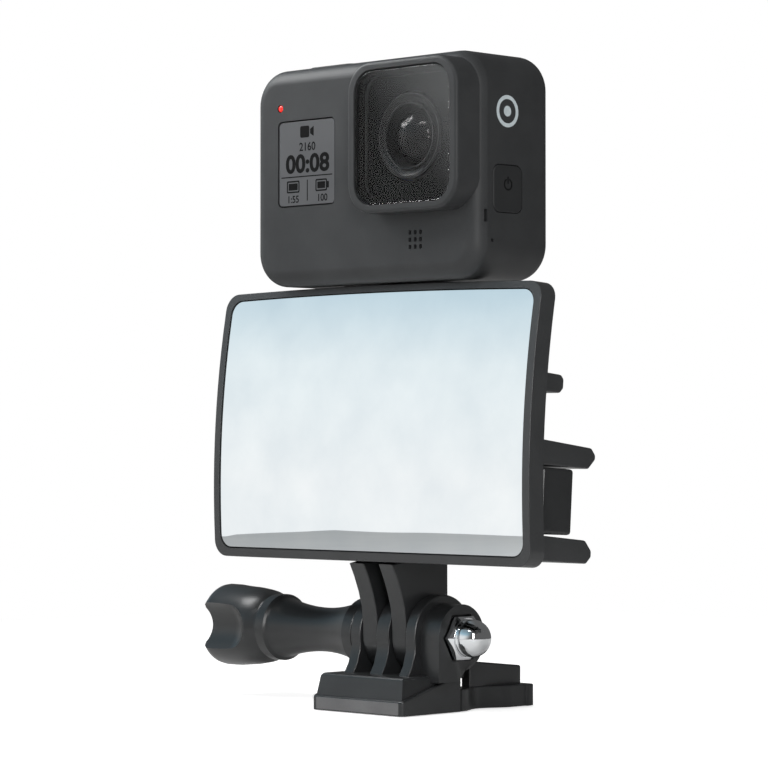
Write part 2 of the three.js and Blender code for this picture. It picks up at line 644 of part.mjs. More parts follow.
const fingerMidY = upperY - cameraMidY;
const fingerMidZ = upperZ - cameraBottom - cameraDatum;
for (const [side, word] of [[-1, 'left'], [1, 'right']]) {
  const span = [side * fingerInner, side * fingerOuter].sort((a, b) => a - b);
  const rootX = side * (fingerInner + fingerOuter) / 2;
  const rootZ = bottomZ + 1.6;
  const blade = block(span, [fingerMidY - 5.8, fingerMidY + 5.8], [fingerMidZ, bottomZ + 2.8]);
  const eye = round('x', upperRadius, ...span, fingerMidY, fingerMidZ);
  addPart(camera, `finger_${word}`, cut(
    join(blade, eye),
    round('x', cameraScrewRadius + screwHole, span[0] - 1, span[1] + 1, fingerMidY, fingerMidZ),
    round('y', 1.1, fingerMidY - 8, fingerMidY + 8, rootX, rootZ, 12),
  ), 'blackPlastic');
  addPart(camera, `finger_pin_${word}`, round(
    'y', 0.8, fingerRecess.y[0] - 0.9, fingerRecess.y[1] + 0.6, rootX, rootZ, 12,
  ), 'steel');
}

export default group;
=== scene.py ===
import json
import math

import bmesh
import bpy
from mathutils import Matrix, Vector


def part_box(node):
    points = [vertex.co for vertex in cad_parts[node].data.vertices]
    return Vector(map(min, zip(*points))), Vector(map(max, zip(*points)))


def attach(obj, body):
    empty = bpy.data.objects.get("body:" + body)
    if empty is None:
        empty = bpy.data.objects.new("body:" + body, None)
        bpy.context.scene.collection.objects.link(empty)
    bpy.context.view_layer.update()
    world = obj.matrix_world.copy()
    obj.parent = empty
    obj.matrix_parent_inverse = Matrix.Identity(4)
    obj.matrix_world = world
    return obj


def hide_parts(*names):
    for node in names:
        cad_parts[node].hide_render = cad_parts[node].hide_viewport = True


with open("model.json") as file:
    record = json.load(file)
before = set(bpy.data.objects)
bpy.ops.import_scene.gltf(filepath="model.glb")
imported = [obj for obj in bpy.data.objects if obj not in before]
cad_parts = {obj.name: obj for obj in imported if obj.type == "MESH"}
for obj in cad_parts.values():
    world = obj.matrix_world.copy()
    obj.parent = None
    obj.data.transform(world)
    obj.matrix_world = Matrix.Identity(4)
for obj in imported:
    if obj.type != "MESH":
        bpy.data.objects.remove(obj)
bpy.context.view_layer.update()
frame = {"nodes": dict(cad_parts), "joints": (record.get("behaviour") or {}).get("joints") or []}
mm = 0.001
axisNumber = {"x": 0, "y": 1, "z": 2}
turns = {"x": (0, math.pi / 2, 0), "y": (math.pi / 2, 0, 0), "z": (0, 0, 0)}
tolerance = {"weld": 1e-7, "level": 2e-6, "along": 0.999, "side": 0.99, "bend": 0.01}
print("frame loaded", len(frame["nodes"]), "nodes")


def cornersOf(node):
    low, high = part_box(node)
    return [v / mm for v in low], [v / mm for v in high]


def middleOf(low, high, plane="xz"):
    return tuple((low[axisNumber[a]] + high[axisNumber[a]]) / 2 for a in plane)


# ---------- working on a piece ----------

def pick(piece, *others):
    bpy.ops.object.select_all(action="DESELECT")
    for each in (piece, *others):
        each.select_set(True)
    bpy.context.view_layer.objects.active = piece


def applyPlace(piece):
    pick(piece)
    bpy.ops.object.transform_apply(location=True, rotation=True, scale=True)
    return piece


def edit(piece, kind, test, *actions):
    # selects the verts, edges or faces that pass the test, then does each action on them
    pick(piece)
    bpy.ops.object.mode_set(mode="EDIT")
    bpy.ops.mesh.select_mode(type=kind)
    bpy.ops.mesh.select_all(action="DESELECT")
    mesh = bmesh.from_edit_mesh(piece.data)
    for item in {"VERT": mesh.verts, "EDGE": mesh.edges, "FACE": mesh.faces}[kind]:
        if test(item):
            item.select_set(True)
    mesh.select_flush_mode()
    bmesh.update_edit_mesh(piece.data)
    for action in actions:
        action()
    bpy.ops.object.mode_set(mode="OBJECT")
    return piece


def useModifier(piece, kind, **settings):
    pick(piece)
    modifier = piece.modifiers.new(kind.lower(), kind)
    for key, value in settings.items():
        setattr(modifier, key, value)
    bpy.ops.object.modifier_apply(modifier=modifier.name)
    return piece


def combine(piece, tool, operation):
    useModifier(piece, "BOOLEAN", operation=operation, object=tool, solver="EXACT")
    bpy.data.objects.remove(tool)
    return piece


def cutBy(piece, *tools):
    for tool in tools:
        combine(piece, tool, "DIFFERENCE")
    return piece


def fuse(piece, *others):
    for other in others:
        combine(piece, other, "UNION")
    return piece


def joinPieces(piece, *others):
    # brings closed solids into one object, each one kept whole
    pick(piece, *others)
    bpy.ops.object.join()
    return piece


# ---------- starting shapes, all sizes in mm ----------

def addBlock(name, low, high):
    size = [(b - a) * mm for a, b in zip(low, high)]
    middle = [(a + b) / 2 * mm for a, b in zip(low, high)]
    bpy.ops.mesh.primitive_cube_add(size=1, location=middle, scale=size)
    bpy.context.object.name = name
    return applyPlace(bpy.context.object)


def addRod(name, axis, radius, start, end, centre, sides=64):
    # centre is the pair of the other two coordinates, in x, y, z order
    place = list(centre)
    place.insert(axisNumber[axis], (start + end) / 2)
    bpy.ops.mesh.primitive_cylinder_add(
        vertices=sides, radius=radius * mm, depth=(end - start) * mm,
        location=[v * mm for v in place], rotation=turns[axis])
    bpy.context.object.name = name
    return applyPlace(bpy.context.object)


def addPlate(name, axis, outline, start, end):
    # a face with a corner at each point of the outline, extruded along the axis
    bpy.ops.mesh.primitive_circle_add(vertices=len(outline), radius=1, fill_type="NGON")
    piece = bpy.context.object
    piece.name = name
    for vertex, (a, b) in zip(piece.data.vertices, outline):
        place = [a * mm, b * mm]
        place.insert(axisNumber[axis], start * mm)
        vertex.co = place
    step = [0, 0, 0]
    step[axisNumber[axis]] = (end - start) * mm
    edit(piece, "FACE", lambda f: True,
         lambda: bpy.ops.mesh.extrude_region_move(TRANSFORM_OT_translate={"value": step}),
         lambda: bpy.ops.mesh.select_all(action="SELECT"),
         lambda: bpy.ops.mesh.normals_make_consistent(inside=False))
    return piece


def addTurned(name, axis, centre, stations, sides=72):
    # a round cap pulled from station to station, each one (place along the axis, radius)
    number = axisNumber[axis]
    last, lastRadius = stations[0]
    middle = [v * mm for v in centre]
    middle.insert(number, last * mm)
    bpy.ops.mesh.primitive_circle_add(
        vertices=sides, radius=lastRadius * mm, fill_type="NGON", location=middle, rotation=turns[axis])
    piece = applyPlace(bpy.context.object)
    piece.name = name
    bpy.ops.object.mode_set(mode="EDIT")
    bpy.ops.mesh.select_all(action="SELECT")
    for along, radius in stations[1:]:
        bpy.ops.mesh.extrude_region_move(TRANSFORM_OT_translate={"value": (0, 0, 0)})
        move = [0, 0, 0]
        move[number] = (along - last) * mm
        bpy.ops.transform.translate(value=move)
        middle[number] = along * mm
        grow = [radius / lastRadius] * 3
        grow[number] = 1
        bpy.ops.transform.resize(value=grow, center_override=middle)
        last, lastRadius = along, radius
    bpy.ops.mesh.select_all(action="SELECT")
    bpy.ops.mesh.remove_doubles(threshold=tolerance["weld"])
    bpy.ops.mesh.normals_make_consistent(inside=False)
    bpy.ops.object.mode_set(mode="OBJECT")
    return piece


# ---------- rounding ----------

def runsAlong(edge, axis):
    way = (edge.verts[1].co - edge.verts[0].co).normalized()
    return abs(way[axisNumber[axis]]) > tolerance["along"]


def onLevel(edge, axis, level):
    return all(abs(v.co[axisNumber[axis]] - level * mm) < tolerance["level"] for v in edge.verts)


def roundEdges(piece, test, width, segments=4):
    return edit(piece, "EDGE", test, lambda: bpy.ops.mesh.bevel(
        offset=width * mm, offset_type="OFFSET", segments=segments, profile=0.5, affect="EDGES",
        clamp_overlap=True))


def roundAlong(piece, axis, width, segments=8):
    return roundEdges(piece, lambda e: runsAlong(e, axis), width, segments)


def roundCap(piece, axis, level, width, segments=4):
    return roundEdges(piece, lambda e: onLevel(e, axis, level), width, segments)


def roundedPanel(name, centre, size, radius, y0, y1, segments=10):
    # an upright plate with rounded corners, centre and size in x and z
    low = [centre[0] - size[0] / 2, y0, centre[1] - size[1] / 2]
    high = [centre[0] + size[0] / 2, y1, centre[1] + size[1] / 2]
    return roundAlong(addBlock(name, low, high), "y", radius, segments)


def softenEdges(piece, width, segments=3, angle=32):
    return useModifier(
        piece, "BEVEL", width=width * mm, segments=segments, limit_method="ANGLE",
        angle_limit=math.radians(angle), use_clamp_overlap=True, harden_normals=False,
        miter_outer="MITER_ARC")


def weldClose(piece, reach):
    return edit(piece, "VERT", lambda v: True,
                lambda: bpy.ops.mesh.remove_doubles(threshold=reach * mm))


def cleanSides(piece, reach):
    # where an eye meets its foot: slivers are welded, and each side becomes one flat face again
    weldClose(piece, reach)
    return edit(piece, "FACE", lambda f: abs(f.normal.x) > tolerance["side"],
                lambda: bpy.ops.mesh.dissolve_limited(angle_limit=tolerance["bend"]))


# ---------- openings ----------

def cutBore(piece, axis, radius, start, end, centre, sides=48):
    return cutBy(piece, addRod("bore", axis, radius, start, end, centre, sides))


def cutHole(piece, axis, low, high, corner, segments=8):
    return cutBy(piece, roundAlong(addBlock("hole", low, high), axis, corner, segments))


def cutWindow(piece, centre, shape, y0, y1, segments=10):
    # shape is width, height and corner radius
    return cutBy(piece, roundedPanel("window", centre, shape[:2], shape[2], y0, y1, segments))


# ---------- materials ----------

def linear(code):
    channels = [int(code[i:i + 2], 16) / 255 for i in (1, 3, 5)]
    return tuple(c / 12.92 if c <= 0.04045 else ((c + 0.055) / 1.055) ** 2.4 for c in channels) + (1.0,)


def addNode(tree, kind, values=None, links=None, **settings):
    node = tree.nodes.new(kind)
    for key, value in settings.items():
        setattr(node, key, value)
    for key, value in (values or {}).items():
        node.inputs[key].default_value = value
    for key, source in (links or {}).items():
        tree.links.new(source, node.inputs[key])
    return node


def perMm(size):
    return 1000.0 / size  # pattern scale for a feature of that many mm, on object coordinates


def startMaterial(name, **values):
    material = bpy.data.materials.new(name)
    material.use_nodes = True
    tree = material.node_tree
    tree.nodes.clear()
    surface = addNode(tree, "ShaderNodeBsdfPrincipled", values)
    addNode(tree, "ShaderNodeOutputMaterial", links={"Surface": surface.outputs["BSDF"]})
    where = addNode(tree, "ShaderNodeTexCoord").outputs["Object"]
    return material, tree, surface, where


def paint(tree, surface, source, dark, light, start=0.0, end=1.0):
    # runs a 0 to 1 pattern between two colours, into the base colour
    ramp = addNode(tree, "ShaderNodeValToRGB", links={"Fac": source})
    for element, place, colour in zip(ramp.color_ramp.elements, (start, end), (dark, light)):
        element.position = place
        element.color = linear(colour)
    tree.links.new(ramp.outputs["Color"], surface.inputs["Base Color"])


def feed(tree, surface, socket, source, low, high):
    # runs a 0 to 1 pattern between two values, into that socket of the surface
    scaled = addNode(tree, "ShaderNodeMapRange", {"To Min": low, "To Max": high}, {"Value": source})
    tree.links.new(scaled.outputs["Result"], surface.inputs[socket])


def addBump(tree, surface, height, depth):
    bump = addNode(
        tree, "ShaderNodeBump", {"Strength": 1.0, "Distance": depth * mm}, {"Height": height})
    tree.links.new(bump.outputs["Normal"], surface.inputs["Normal"])


def noise(tree, where, size, detail=2.0, roughness=0.5):
    return addNode(
        tree, "ShaderNodeTexNoise", {"Scale": perMm(size), "Detail": detail, "Roughness": roughness},
        {"Vector": where}).outputs["Fac"]


def makeMoulded(name, dark, light, rough, grit, depth, specular):
    # moulded plastic: faint cloudiness from the flow of the melt, and the tool's spark-eroded grain
    material, tree, surface, where = startMaterial(name, IOR=1.5, **{"Specular IOR Level": specular})
    cloud = noise(tree, where, size=9, detail=3)
    grain = noise(tree, where, size=grit, detail=4, roughness=0.65)
    mixed = addNode(tree, "ShaderNodeMath", {1: 0.5}, {0: grain, 2: cloud}, operation="MULTIPLY_ADD")
    paint(tree, surface, mixed.outputs[0], dark, light, start=0.5)
    feed(tree, surface, "Roughness", grain, rough - 0.05, rough + 0.08)
    addBump(tree, surface, grain, depth)
    return material


def makeMetal(name, colour, rough, streak=(1, 1, 1)):
    # plated or drawn metal: tool lines run round or along, so reflections break up a little
    material, tree, surface, where = startMaterial(
        name, Metallic=1.0, **{"Base Color": linear(colour)})
    stretch = addNode(tree, "ShaderNodeMapping", {"Scale": streak}, {"Vector": where})
    lines = noise(tree, stretch.outputs["Vector"], size=0.5, detail=3)
    feed(tree, surface, "Roughness", lines, rough * 0.7, rough * 1.4)
    addBump(tree, surface, lines, depth=0.004)
    return material


def makeGlass(name, tint, coat, coatRough, ior, span=None):
    # clear glass under a soft coating, with finger smears that only blur the brightest reflections; over a
    # given span the coat's weight rises as a painted reflection
    material, tree, surface, where = startMaterial(
        name, IOR=ior, **{"Transmission Weight": 1.0, "Base Color": linear(tint), "Coat Weight": coat,
                          "Coat Roughness": coatRough})
    feed(tree, surface, "Roughness", noise(tree, where, size=6, detail=4), 0.0, 0.02)
    if span:
        # the coat gains weight over this span of x + z, in mm: it stands in for a soft reflection there
        parts = addNode(tree, "ShaderNodeSeparateXYZ", links={0: where})
        along = addNode(tree, "ShaderNodeMath", links={0: parts.outputs["X"], 1: parts.outputs["Z"]},
                        operation="ADD")
        share = addNode(tree, "ShaderNodeMapRange", {
            "From Min": span[0] * mm, "From Max": span[1] * mm, "To Min": 0.02, "To Max": coat},
            {"Value": along.outputs[0]}, interpolation_type="SMOOTHSTEP")
        tree.links.new(share.outputs["Result"], surface.inputs["Coat Weight"])
    return material


def makeMirror():
    # vacuum-silvered acrylic: a true mirror, with a very slow waviness from the moulding
    material, tree, surface, where = startMaterial(
        "silveredAcrylic", Metallic=1.0, Roughness=0.012, **{"Base Color": linear("#eef3f5")})
    wave = noise(tree, where, size=45, detail=1)
    paint(tree, surface, noise(tree, where, size=12, detail=4), "#e6ecef", "#f3f7f8", 0.3, 0.8)
    addBump(tree, surface, wave, depth=0.15)
    return material


def makeBoard():
    # green solder mask over copper lanes that run in right angles
    material, tree, surface, where = startMaterial("solderMask", Roughness=0.35, IOR=1.5)
    lanes = addNode(tree, "ShaderNodeTexBrick", {
        "Scale": perMm(1), "Brick Width": 3.1, "Row Height": 0.9, "Mortar Size": 0.12,
        "Color1": linear("#0f3a24"), "Color2": linear("#134a2d"), "Mortar": linear("#1f6a40")},
        {"Vector": where})
    tree.links.new(lanes.outputs["Color"], surface.inputs["Base Color"])
    addBump(tree, surface, lanes.outputs["Fac"], depth=0.03)
    return material


def makeWrap():
    # printed heat-shrink film on the cell: satin blue with fine shrink wrinkles
    material, tree, surface, where = startMaterial("shrinkFilm", Roughness=0.3, IOR=1.46)
    wrinkle = noise(tree, where, size=1.4, detail=5)
    paint(tree, surface, wrinkle, "#1c3a74", "#27509a", 0.35, 0.7)
    addBump(tree, surface, wrinkle, depth=0.05)
    return material


def makeLightGuide():
    # red polycarbonate light guide, lit faintly from behind
    material, tree, surface, where = startMaterial(
        "redLightGuide", Roughness=0.25, IOR=1.58,
        **{"Emission Color": linear("#ff1a0c"), "Emission Strength": 0.35})
    paint(tree, surface, noise(tree, where, size=0.8), "#c8100a", "#ff2a18", 0.3, 0.7)
    return material


def makePrint(name, dark, light):
    # pad-printed ink, a touch uneven where it was thin
    material, tree, surface, where = startMaterial(name, Roughness=0.7, **{"Specular IOR Level": 0.1})
    paint(tree, surface, noise(tree, where, size=0.7, detail=3), dark, light, 0.3, 0.8)
    return material


# name, dark colour, light colour, roughness, grain size and depth in mm, specular level
moulded = {
    "shell": ("texturedPolycarbonate", "#2e2f30", "#373839", 0.46, 0.28, 0.014, 0.22),
    # the next finish is the front shell's polycarbonate painted a shade darker: painted shade on the side
    # pieces
    "shellShadedSide": ("shadedSidePolycarbonate", "#2a2b2c", "#323334", 0.46, 0.28, 0.014, 0.3),
    "nylon": ("glassFilledNylon", "#1f2021", "#272829", 0.3, 0.4, 0.008, 0.45),
    "frame": ("satinAbs", "#2d2e2f", "#343536", 0.34, 0.35, 0.008, 0.45),
    # the next finish is a light grey for the wedge's nose: a painted reflection of the pale floor
    "toe": ("floorReflectionNylon", "#5a5a5b", "#69696a", 0.5, 0.3, 0.01, 0.4),
    "modeRubber": ("greySilicone", "#1e1f20", "#252627", 0.55, 0.3, 0.01, 0.35),
    "rubber": ("siliconeRubber", "#131314", "#1b1b1c", 0.6, 0.3, 0.02, 0.5),
    "foam": ("closedCellFoam", "#1f1f1f", "#333333", 0.9, 0.5, 0.12, 0.5),
    "mask": ("blackoutMask", "#040404", "#060606", 0.6, 0.4, 0.001, 0.06),
    "barrel": ("anodisedBarrel", "#060607", "#0a0a0b", 0.3, 0.3, 0.001, 0.22),
    "display": ("greyReflectiveDisplay", "#4e4f51", "#525355", 0.42, 0.2, 0.001, 0.15),
    "screen": ("hardCoatScreen", "#08090a", "#0b0c0d", 0.1, 2.0, 0.001, 0.5),
}
# the x + z span over which the cover glass's coat rises as a painted reflection, clear for its first
# clearPart mm
paneLow, paneHigh = cornersOf("lens_cover_glass")
clearPart = 22
paneReflectionSpan = (paneLow[0] + paneLow[2] + clearPart, paneHigh[0] + paneHigh[2])
finishes = {key: makeMoulded(*look) for key, look in moulded.items()}
finishes.update({
    "ink": makePrint("displayInk", "#020202", "#060606"),
    "mark": makePrint("greyPadPrint", "#a9b2b5", "#bcc5c8"),
    "chrome": makeMetal("chromePlate", "#dfe1e3", 0.05),
    "steel": makeMetal("zincPlatedSteel", "#a5a8aa", 0.28, streak=(0.2, 1, 1)),
    "alloy": makeMetal("stampedAluminium", "#b9bcbf", 0.35, streak=(1, 0.1, 1)),
    # the cover glass's coat weight is a painted reflection, rising across its span
    "coverGlass": makeGlass("coverGlassPaintedReflection", "#ffffff", coat=1.0, coatRough=0.2, ior=1.16, span=paneReflectionSpan),
    "dome": makeGlass("lensElement", "#2c1019", coat=0.08, coatRough=0.12, ior=1.22),
    "mirror": makeMirror(),
    "board": makeBoard(),
    "wrap": makeWrap(),
    "light": makeLightGuide(),
})
print("materials made", len(finishes))


def finish(piece, body, finishName, replaced=(), angle=30):
    piece.data.materials.clear()
    piece.data.materials.append(finishes[finishName])
    pick(piece)
    bpy.ops.object.shade_smooth_by_angle(angle=math.radians(angle))
    useModifier(piece, "WEIGHTED_NORMAL", keep_sharp=True, weight=80)
    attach(piece, body)
    if replaced:
        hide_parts(*replaced)
    print("made", piece.name, len(piece.data.polygons))
    return piece


# ---------- camera body: two moulded shells ----------

body = {
    "corner": 7.5, "fillet": 3.6, "wall": 2.0, "cornerSteps": 14, "filletSteps": 9, "seam": 0.04,
    "displayPocket": (17.5, 18.6, 1.3), "displayHole": (14.8, 16.0, 0.8), "pocketDepth": 1.2,
    "grillePitch": 1.5, "grilleHole": (0.82, 1.0, 0.3), "grillePlace": (15.6, 98.35), "lightHole": 0.85,
    "micSlot": (101.3, 103.9), "micDepth": 0.75, "pinhole": (-10.6, 97.6, 0.4), "humpGap": 0.8,
    "humpCorner": 5.6, "doorGap": 0.3, "hingeGap": 0.4, "modeGap": 0.13, "through": 3, "past": 1,
}
frontLow, frontHigh = cornersOf("front_shell")
rearLow, bodyHigh = cornersOf("rear_shell")
bodyLow = [rearLow[0], frontLow[1], rearLow[2]]
seamY = frontHigh[1]
humpLow, humpHigh = cornersOf("lens_housing")
humpMiddle = middleOf(humpLow, humpHigh)
displayLow, displayHigh = cornersOf("display_window")
displayMiddle = middleOf(displayLow, displayHigh)


def bodyForm(name):
    form = roundAlong(addBlock(name, bodyLow, bodyHigh), "y", body["corner"], body["cornerSteps"])
    roundCap(form, "y", bodyLow[1], body["fillet"], body["filletSteps"])
    return roundCap(form, "y", bodyHigh[1], body["fillet"], body["filletSteps"])


def keepSide(piece, level, front):
    edit(piece, "FACE", lambda f: True, lambda: bpy.ops.mesh.bisect(
        plane_co=(0, level * mm, 0), plane_no=(0, 1, 0), clear_outer=front, clear_inner=not front))
    return useModifier(piece, "SOLIDIFY", thickness=body["wall"] * mm, offset=-1, use_even_offset=True)


def makeFrontShell():
    shell = keepSide(bodyForm("frontShell"), seamY - body["seam"], True)
    depth = bodyLow[1] + body["pocketDepth"]
    front, through, past = bodyLow[1] - 2 * body["past"], depth + body["through"], body["past"]
    cutWindow(shell, displayMiddle, body["displayPocket"], front, depth)
    cutWindow(shell, displayMiddle, body["displayHole"], front, through)
    width = humpHigh[0] - humpLow[0] - 2 * body["humpGap"]
    cutWindow(shell, humpMiddle, (width, width, body["humpCorner"]), front, seamY + past)
    cutBore(shell, "y", body["lightHole"], front, through, middleOf(*cornersOf("status_light")), 32)
    x, z = body["grillePlace"]
    for column in (-1, 0, 1):
        for row in (-1, 0, 1):
            place = (x + column * body["grillePitch"], z + row * body["grillePitch"])
            cutWindow(shell, place, body["grilleHole"], front, through, 4)
    slotLow, slotHigh = body["micSlot"]
    cutBy(shell, addBlock("micCut", [bodyHigh[0] - body["through"], seamY - body["micDepth"], slotLow],
                          [bodyHigh[0] + past, seamY + past, slotHigh]))
    return finish(shell, "camera", "shell", ["front_shell"], 28)


makeFrontShell()

openings = {
    "shutter": (-17.1, -3.5, 15.7, 9.3, 3.1), "mode": 1.9, "door": 0.6, "screen": (50.0, 33.0, 2.2),
    "recessX": 15.5, "recessY": (-5.7, 6.9), "recessTop": 93.2, "recessCorner": 1.5, "recessWall": 1.6,
}


def makeRearShell():
    shell = keepSide(bodyForm("rearShell"), seamY + body["seam"], False)
    through, past = body["through"], body["past"]
    left, right, top = bodyLow[0], bodyHigh[0], bodyHigh[2]
    x, y, wide, long, corner = openings["shutter"]
    cutHole(shell, "z", [x - wide / 2, y - long / 2, top - through],
            [x + wide / 2, y + long / 2, top + past], corner)
    low, high = cornersOf("mode_button")
    gap = body["modeGap"]
    cutHole(shell, "x", [right - through, low[1] - gap, low[2] - gap],
            [right + past, high[1] + gap, high[2] + gap], openings["mode"])
    low, high = cornersOf("side_door")
    gap = body["doorGap"]
    cutHole(shell, "x", [left - past, low[1] - gap, low[2] - body["hingeGap"]],
            [left + through, high[1] + gap, high[2] + gap], openings["door"])
    middle = middleOf(*cornersOf("rear_display_glass"))
    cutWindow(shell, middle, openings["screen"], bodyHigh[1] - through, bodyHigh[1] + past)
    recessX, recessTop, wall = openings["recessX"], openings["recessTop"], openings["recessWall"]
    front, rear = openings["recessY"]
    fuse(shell, addBlock("well", [-recessX - wall, front - wall, bodyLow[2] + 0.6],
                         [recessX + wall, rear + 0.5, recessTop + wall]))
    cutHole(shell, "z", [-recessX, front, bodyLow[2] - past], [recessX, rear, recessTop],
            openings["recessCorner"])
    y, z, radius = body["pinhole"]
    cutBore(shell, "x", radius, right - through, right + past, (y, z), 24)
    return finish(shell, "camera", "shellShadedSide", ["rear_shell"], 28)


makeRearShell()

# ---------- lens: raised square housing, cover glass, mask, stepped barrel and domed front element ----------

lens = {
    "corner": 6.4, "rimRound": 0.8, "window": (27.4, 28.2, 4.9), "windowDepth": 2.0,
    "throat": (24.6, 25.4, 3.8), "lipRound": 0.35, "lipReach": 0.05, "glassCorner": 4.6, "glassRound": 0.25,
    "mask": (24.4, 25.2), "maskCorner": 3.6, "maskDepth": 3.0, "maskThick": 0.8, "maskGap": 0.25,
    "ringOuter": 9.0, "ringInner": 6.5, "domeDepth": 1.75, "domeGap": 0.5, "domeRise": 0.85,
    # steps of the barrel: past its front, and past the outer or the inner radius
    "outerSteps": ((6, 0), (0.2, 0), (0, -0.15), (0, -0.55), (0.25, -0.7), (0.45, -1.2)),
    "innerSteps": ((0.5, 0.75), (0.1, 0.55), (-0.05, 0.4), (0, 0.1), (0.6, -0.15), (4.6, -0.3)),
    "domeRear": ((5.6, 0), (5.9, -0.5)), "hub": 0.2,
}
lensX, lensZ = humpMiddle
humpFront = humpLow[1]


def makeLensHousing():
    size = humpHigh[0] - humpLow[0]
    housing = roundedPanel(
        "lensHousing", humpMiddle, (size, size), lens["corner"], humpFront, seamY - 0.4, 14)
    roundCap(housing, "y", humpFront, lens["rimRound"], 5)
    cutWindow(housing, humpMiddle, lens["window"], humpFront - 1, humpFront + lens["windowDepth"], 12)
    reachX, reachZ = ((side / 2 + lens["lipReach"]) * mm for side in lens["window"][:2])
    roundEdges(housing, lambda e: onLevel(e, "y", humpFront) and all(
        abs(v.co.x - lensX * mm) < reachX and abs(v.co.z - lensZ * mm) < reachZ for v in e.verts),
        lens["lipRound"], 3)
    cutWindow(housing, humpMiddle, lens["throat"], humpFront, seamY + 2)
    return finish(housing, "camera", "shell", ["lens_housing"], 28)


def makeCoverGlass():
    low, high = cornersOf("lens_cover_glass")
    size = (high[0] - low[0], high[2] - low[2])
    pane = roundedPanel("lensCoverGlass", humpMiddle, size, lens["glassCorner"], low[1], high[1], 12)
    roundCap(pane, "y", low[1], lens["glassRound"], 3)
    return finish(pane, "camera", "coverGlass", ["lens_cover_glass"])


def makeLensMask():
    front = humpFront + lens["maskDepth"]
    mask = roundedPanel(
        "lensMask", humpMiddle, lens["mask"], lens["maskCorner"], front, front + lens["maskThick"], 8)
    cutBore(mask, "y", lens["ringOuter"] + lens["maskGap"], front - 1, front + 2, humpMiddle, 96)
    roundCap(mask, "y", front, 0.15, 2)
    return finish(mask, "camera", "mask", ["lens_mask"])


def makeLensBarrel():
    front = humpFront + lens["maskDepth"] - lens["maskGap"]
    stations = [(front + along, lens["ringOuter"] + grow) for along, grow in lens["outerSteps"]]
    stations += [(front + along, lens["ringInner"] + grow) for along, grow in lens["innerSteps"]]
    stations.append((stations[-1][0], lens["hub"]))
    barrel = addTurned("lensBarrel", "y", humpMiddle, stations, 96)
    return finish(barrel, "camera", "barrel", ["lens_barrel"], 40)


def makeLensDome():
    radius, front = lens["ringInner"] - lens["domeGap"], humpFront + lens["domeDepth"]
    angles = [math.radians(a) for a in (2, *range(10, 91, 10))]
    stations = [(front + radius * lens["domeRise"] * (1 - math.cos(a)), radius * math.sin(a)) for a in angles]
    stations += [(front + along, radius + grow) for along, grow in lens["domeRear"]]
    stations.append((stations[-1][0], lens["hub"]))
    dome = addTurned("lensDome", "y", humpMiddle, stations)
    return finish(dome, "camera", "dome", ["lens_dome"], 40)


makeLensHousing()
makeCoverGlass()
makeLensMask()
makeLensBarrel()
makeLensDome()


# ---------- front display, status light, buttons ----------

display = {
    "corner": 0.9, "ink": 0.012, "lift": 0.002, "capShare": 0.7, "boldShare": 0.3, "cardCorner": 0.15,
    # text, height, x, z, boldness, stretch
    "figures": (("00:08", 3.75, 0.25, -1.9, 0.11, 1.12), ("2160", 1.75, 0.2, 2.65, 0.05, 1.0),
                ("1:55", 1.5, -4.15, -8.35, 0.05, 1.0), ("100", 1.5, 4.75, -8.35, 0.05, 1.0)),
    # x, z, width, height, corner: two dividers and the body of the small camera
    "bars": ((0, -2.85, 15.6, 0.24, 0.05), (0.2, -5.85, 0.26, 4.5, 0.05), (-0.6, 6.7, 2.8, 2.5, 0.4)),
    "horn": (1.6, 6.7, 1.1, 2.1, 0.1), "hornShare": 0.5, "batteryEnd": (6.5, -4.95, 0.55, 1.4, 0.1),
    # x, z, width, height, line: card and battery
    "framed": ((-4.15, -4.95, 3.9, 2.6, 0.32), (4.45, -4.95, 3.5, 2.6, 0.32)), "fillInset": 1.8,
}
printed = []


def addFigures(text, height, x, z, bold, stretch):
    # figures centred on x with their feet at z, in mm from the middle of the display
    bpy.ops.object.text_add(rotation=(math.pi / 2, 0, 0))
    figures = bpy.context.object
    figures.data.body = text
    figures.data.align_x = "CENTER"
    figures.data.size = height / display["capShare"] * mm
    figures.data.extrude = display["ink"] * mm
    figures.data.offset = bold * height / display["capShare"] * mm * display["boldShare"]
    figures.data.resolution_u = 4
    figures.scale.x = stretch
    place = (displayMiddle[0] + x, displayLow[1] - display["lift"], displayMiddle[1] + z)
    figures.location = [v * mm for v in place]
    pick(figures)
    bpy.ops.object.convert(target="MESH")
    applyPlace(figures)
    printed.append(weldClose(figures, 0.001))


def addBar(x, z, wide, tall, corner):
    front = displayLow[1]
    bar = roundedPanel("bar", (displayMiddle[0] + x, displayMiddle[1] + z), (wide, tall), corner,
                       front - display["ink"], front + display["ink"], 3)
    printed.append(bar)
    return bar


def addFramedBar(x, z, wide, tall, line):
    # an outlined box with a filled box inside it, as a battery or a card is drawn
    outer = addBar(x, z, wide, tall, 2 * display["cardCorner"])
    inside = (wide - 2 * line, tall - 2 * line, display["cardCorner"])
    middle, front = (displayMiddle[0] + x, displayMiddle[1] + z), displayLow[1]
    cutWindow(outer, middle, inside, front - 1, front + 1, 3)
    inset = 2 * display["fillInset"] * line
    addBar(x, z, wide - inset, tall - inset, 0.1)


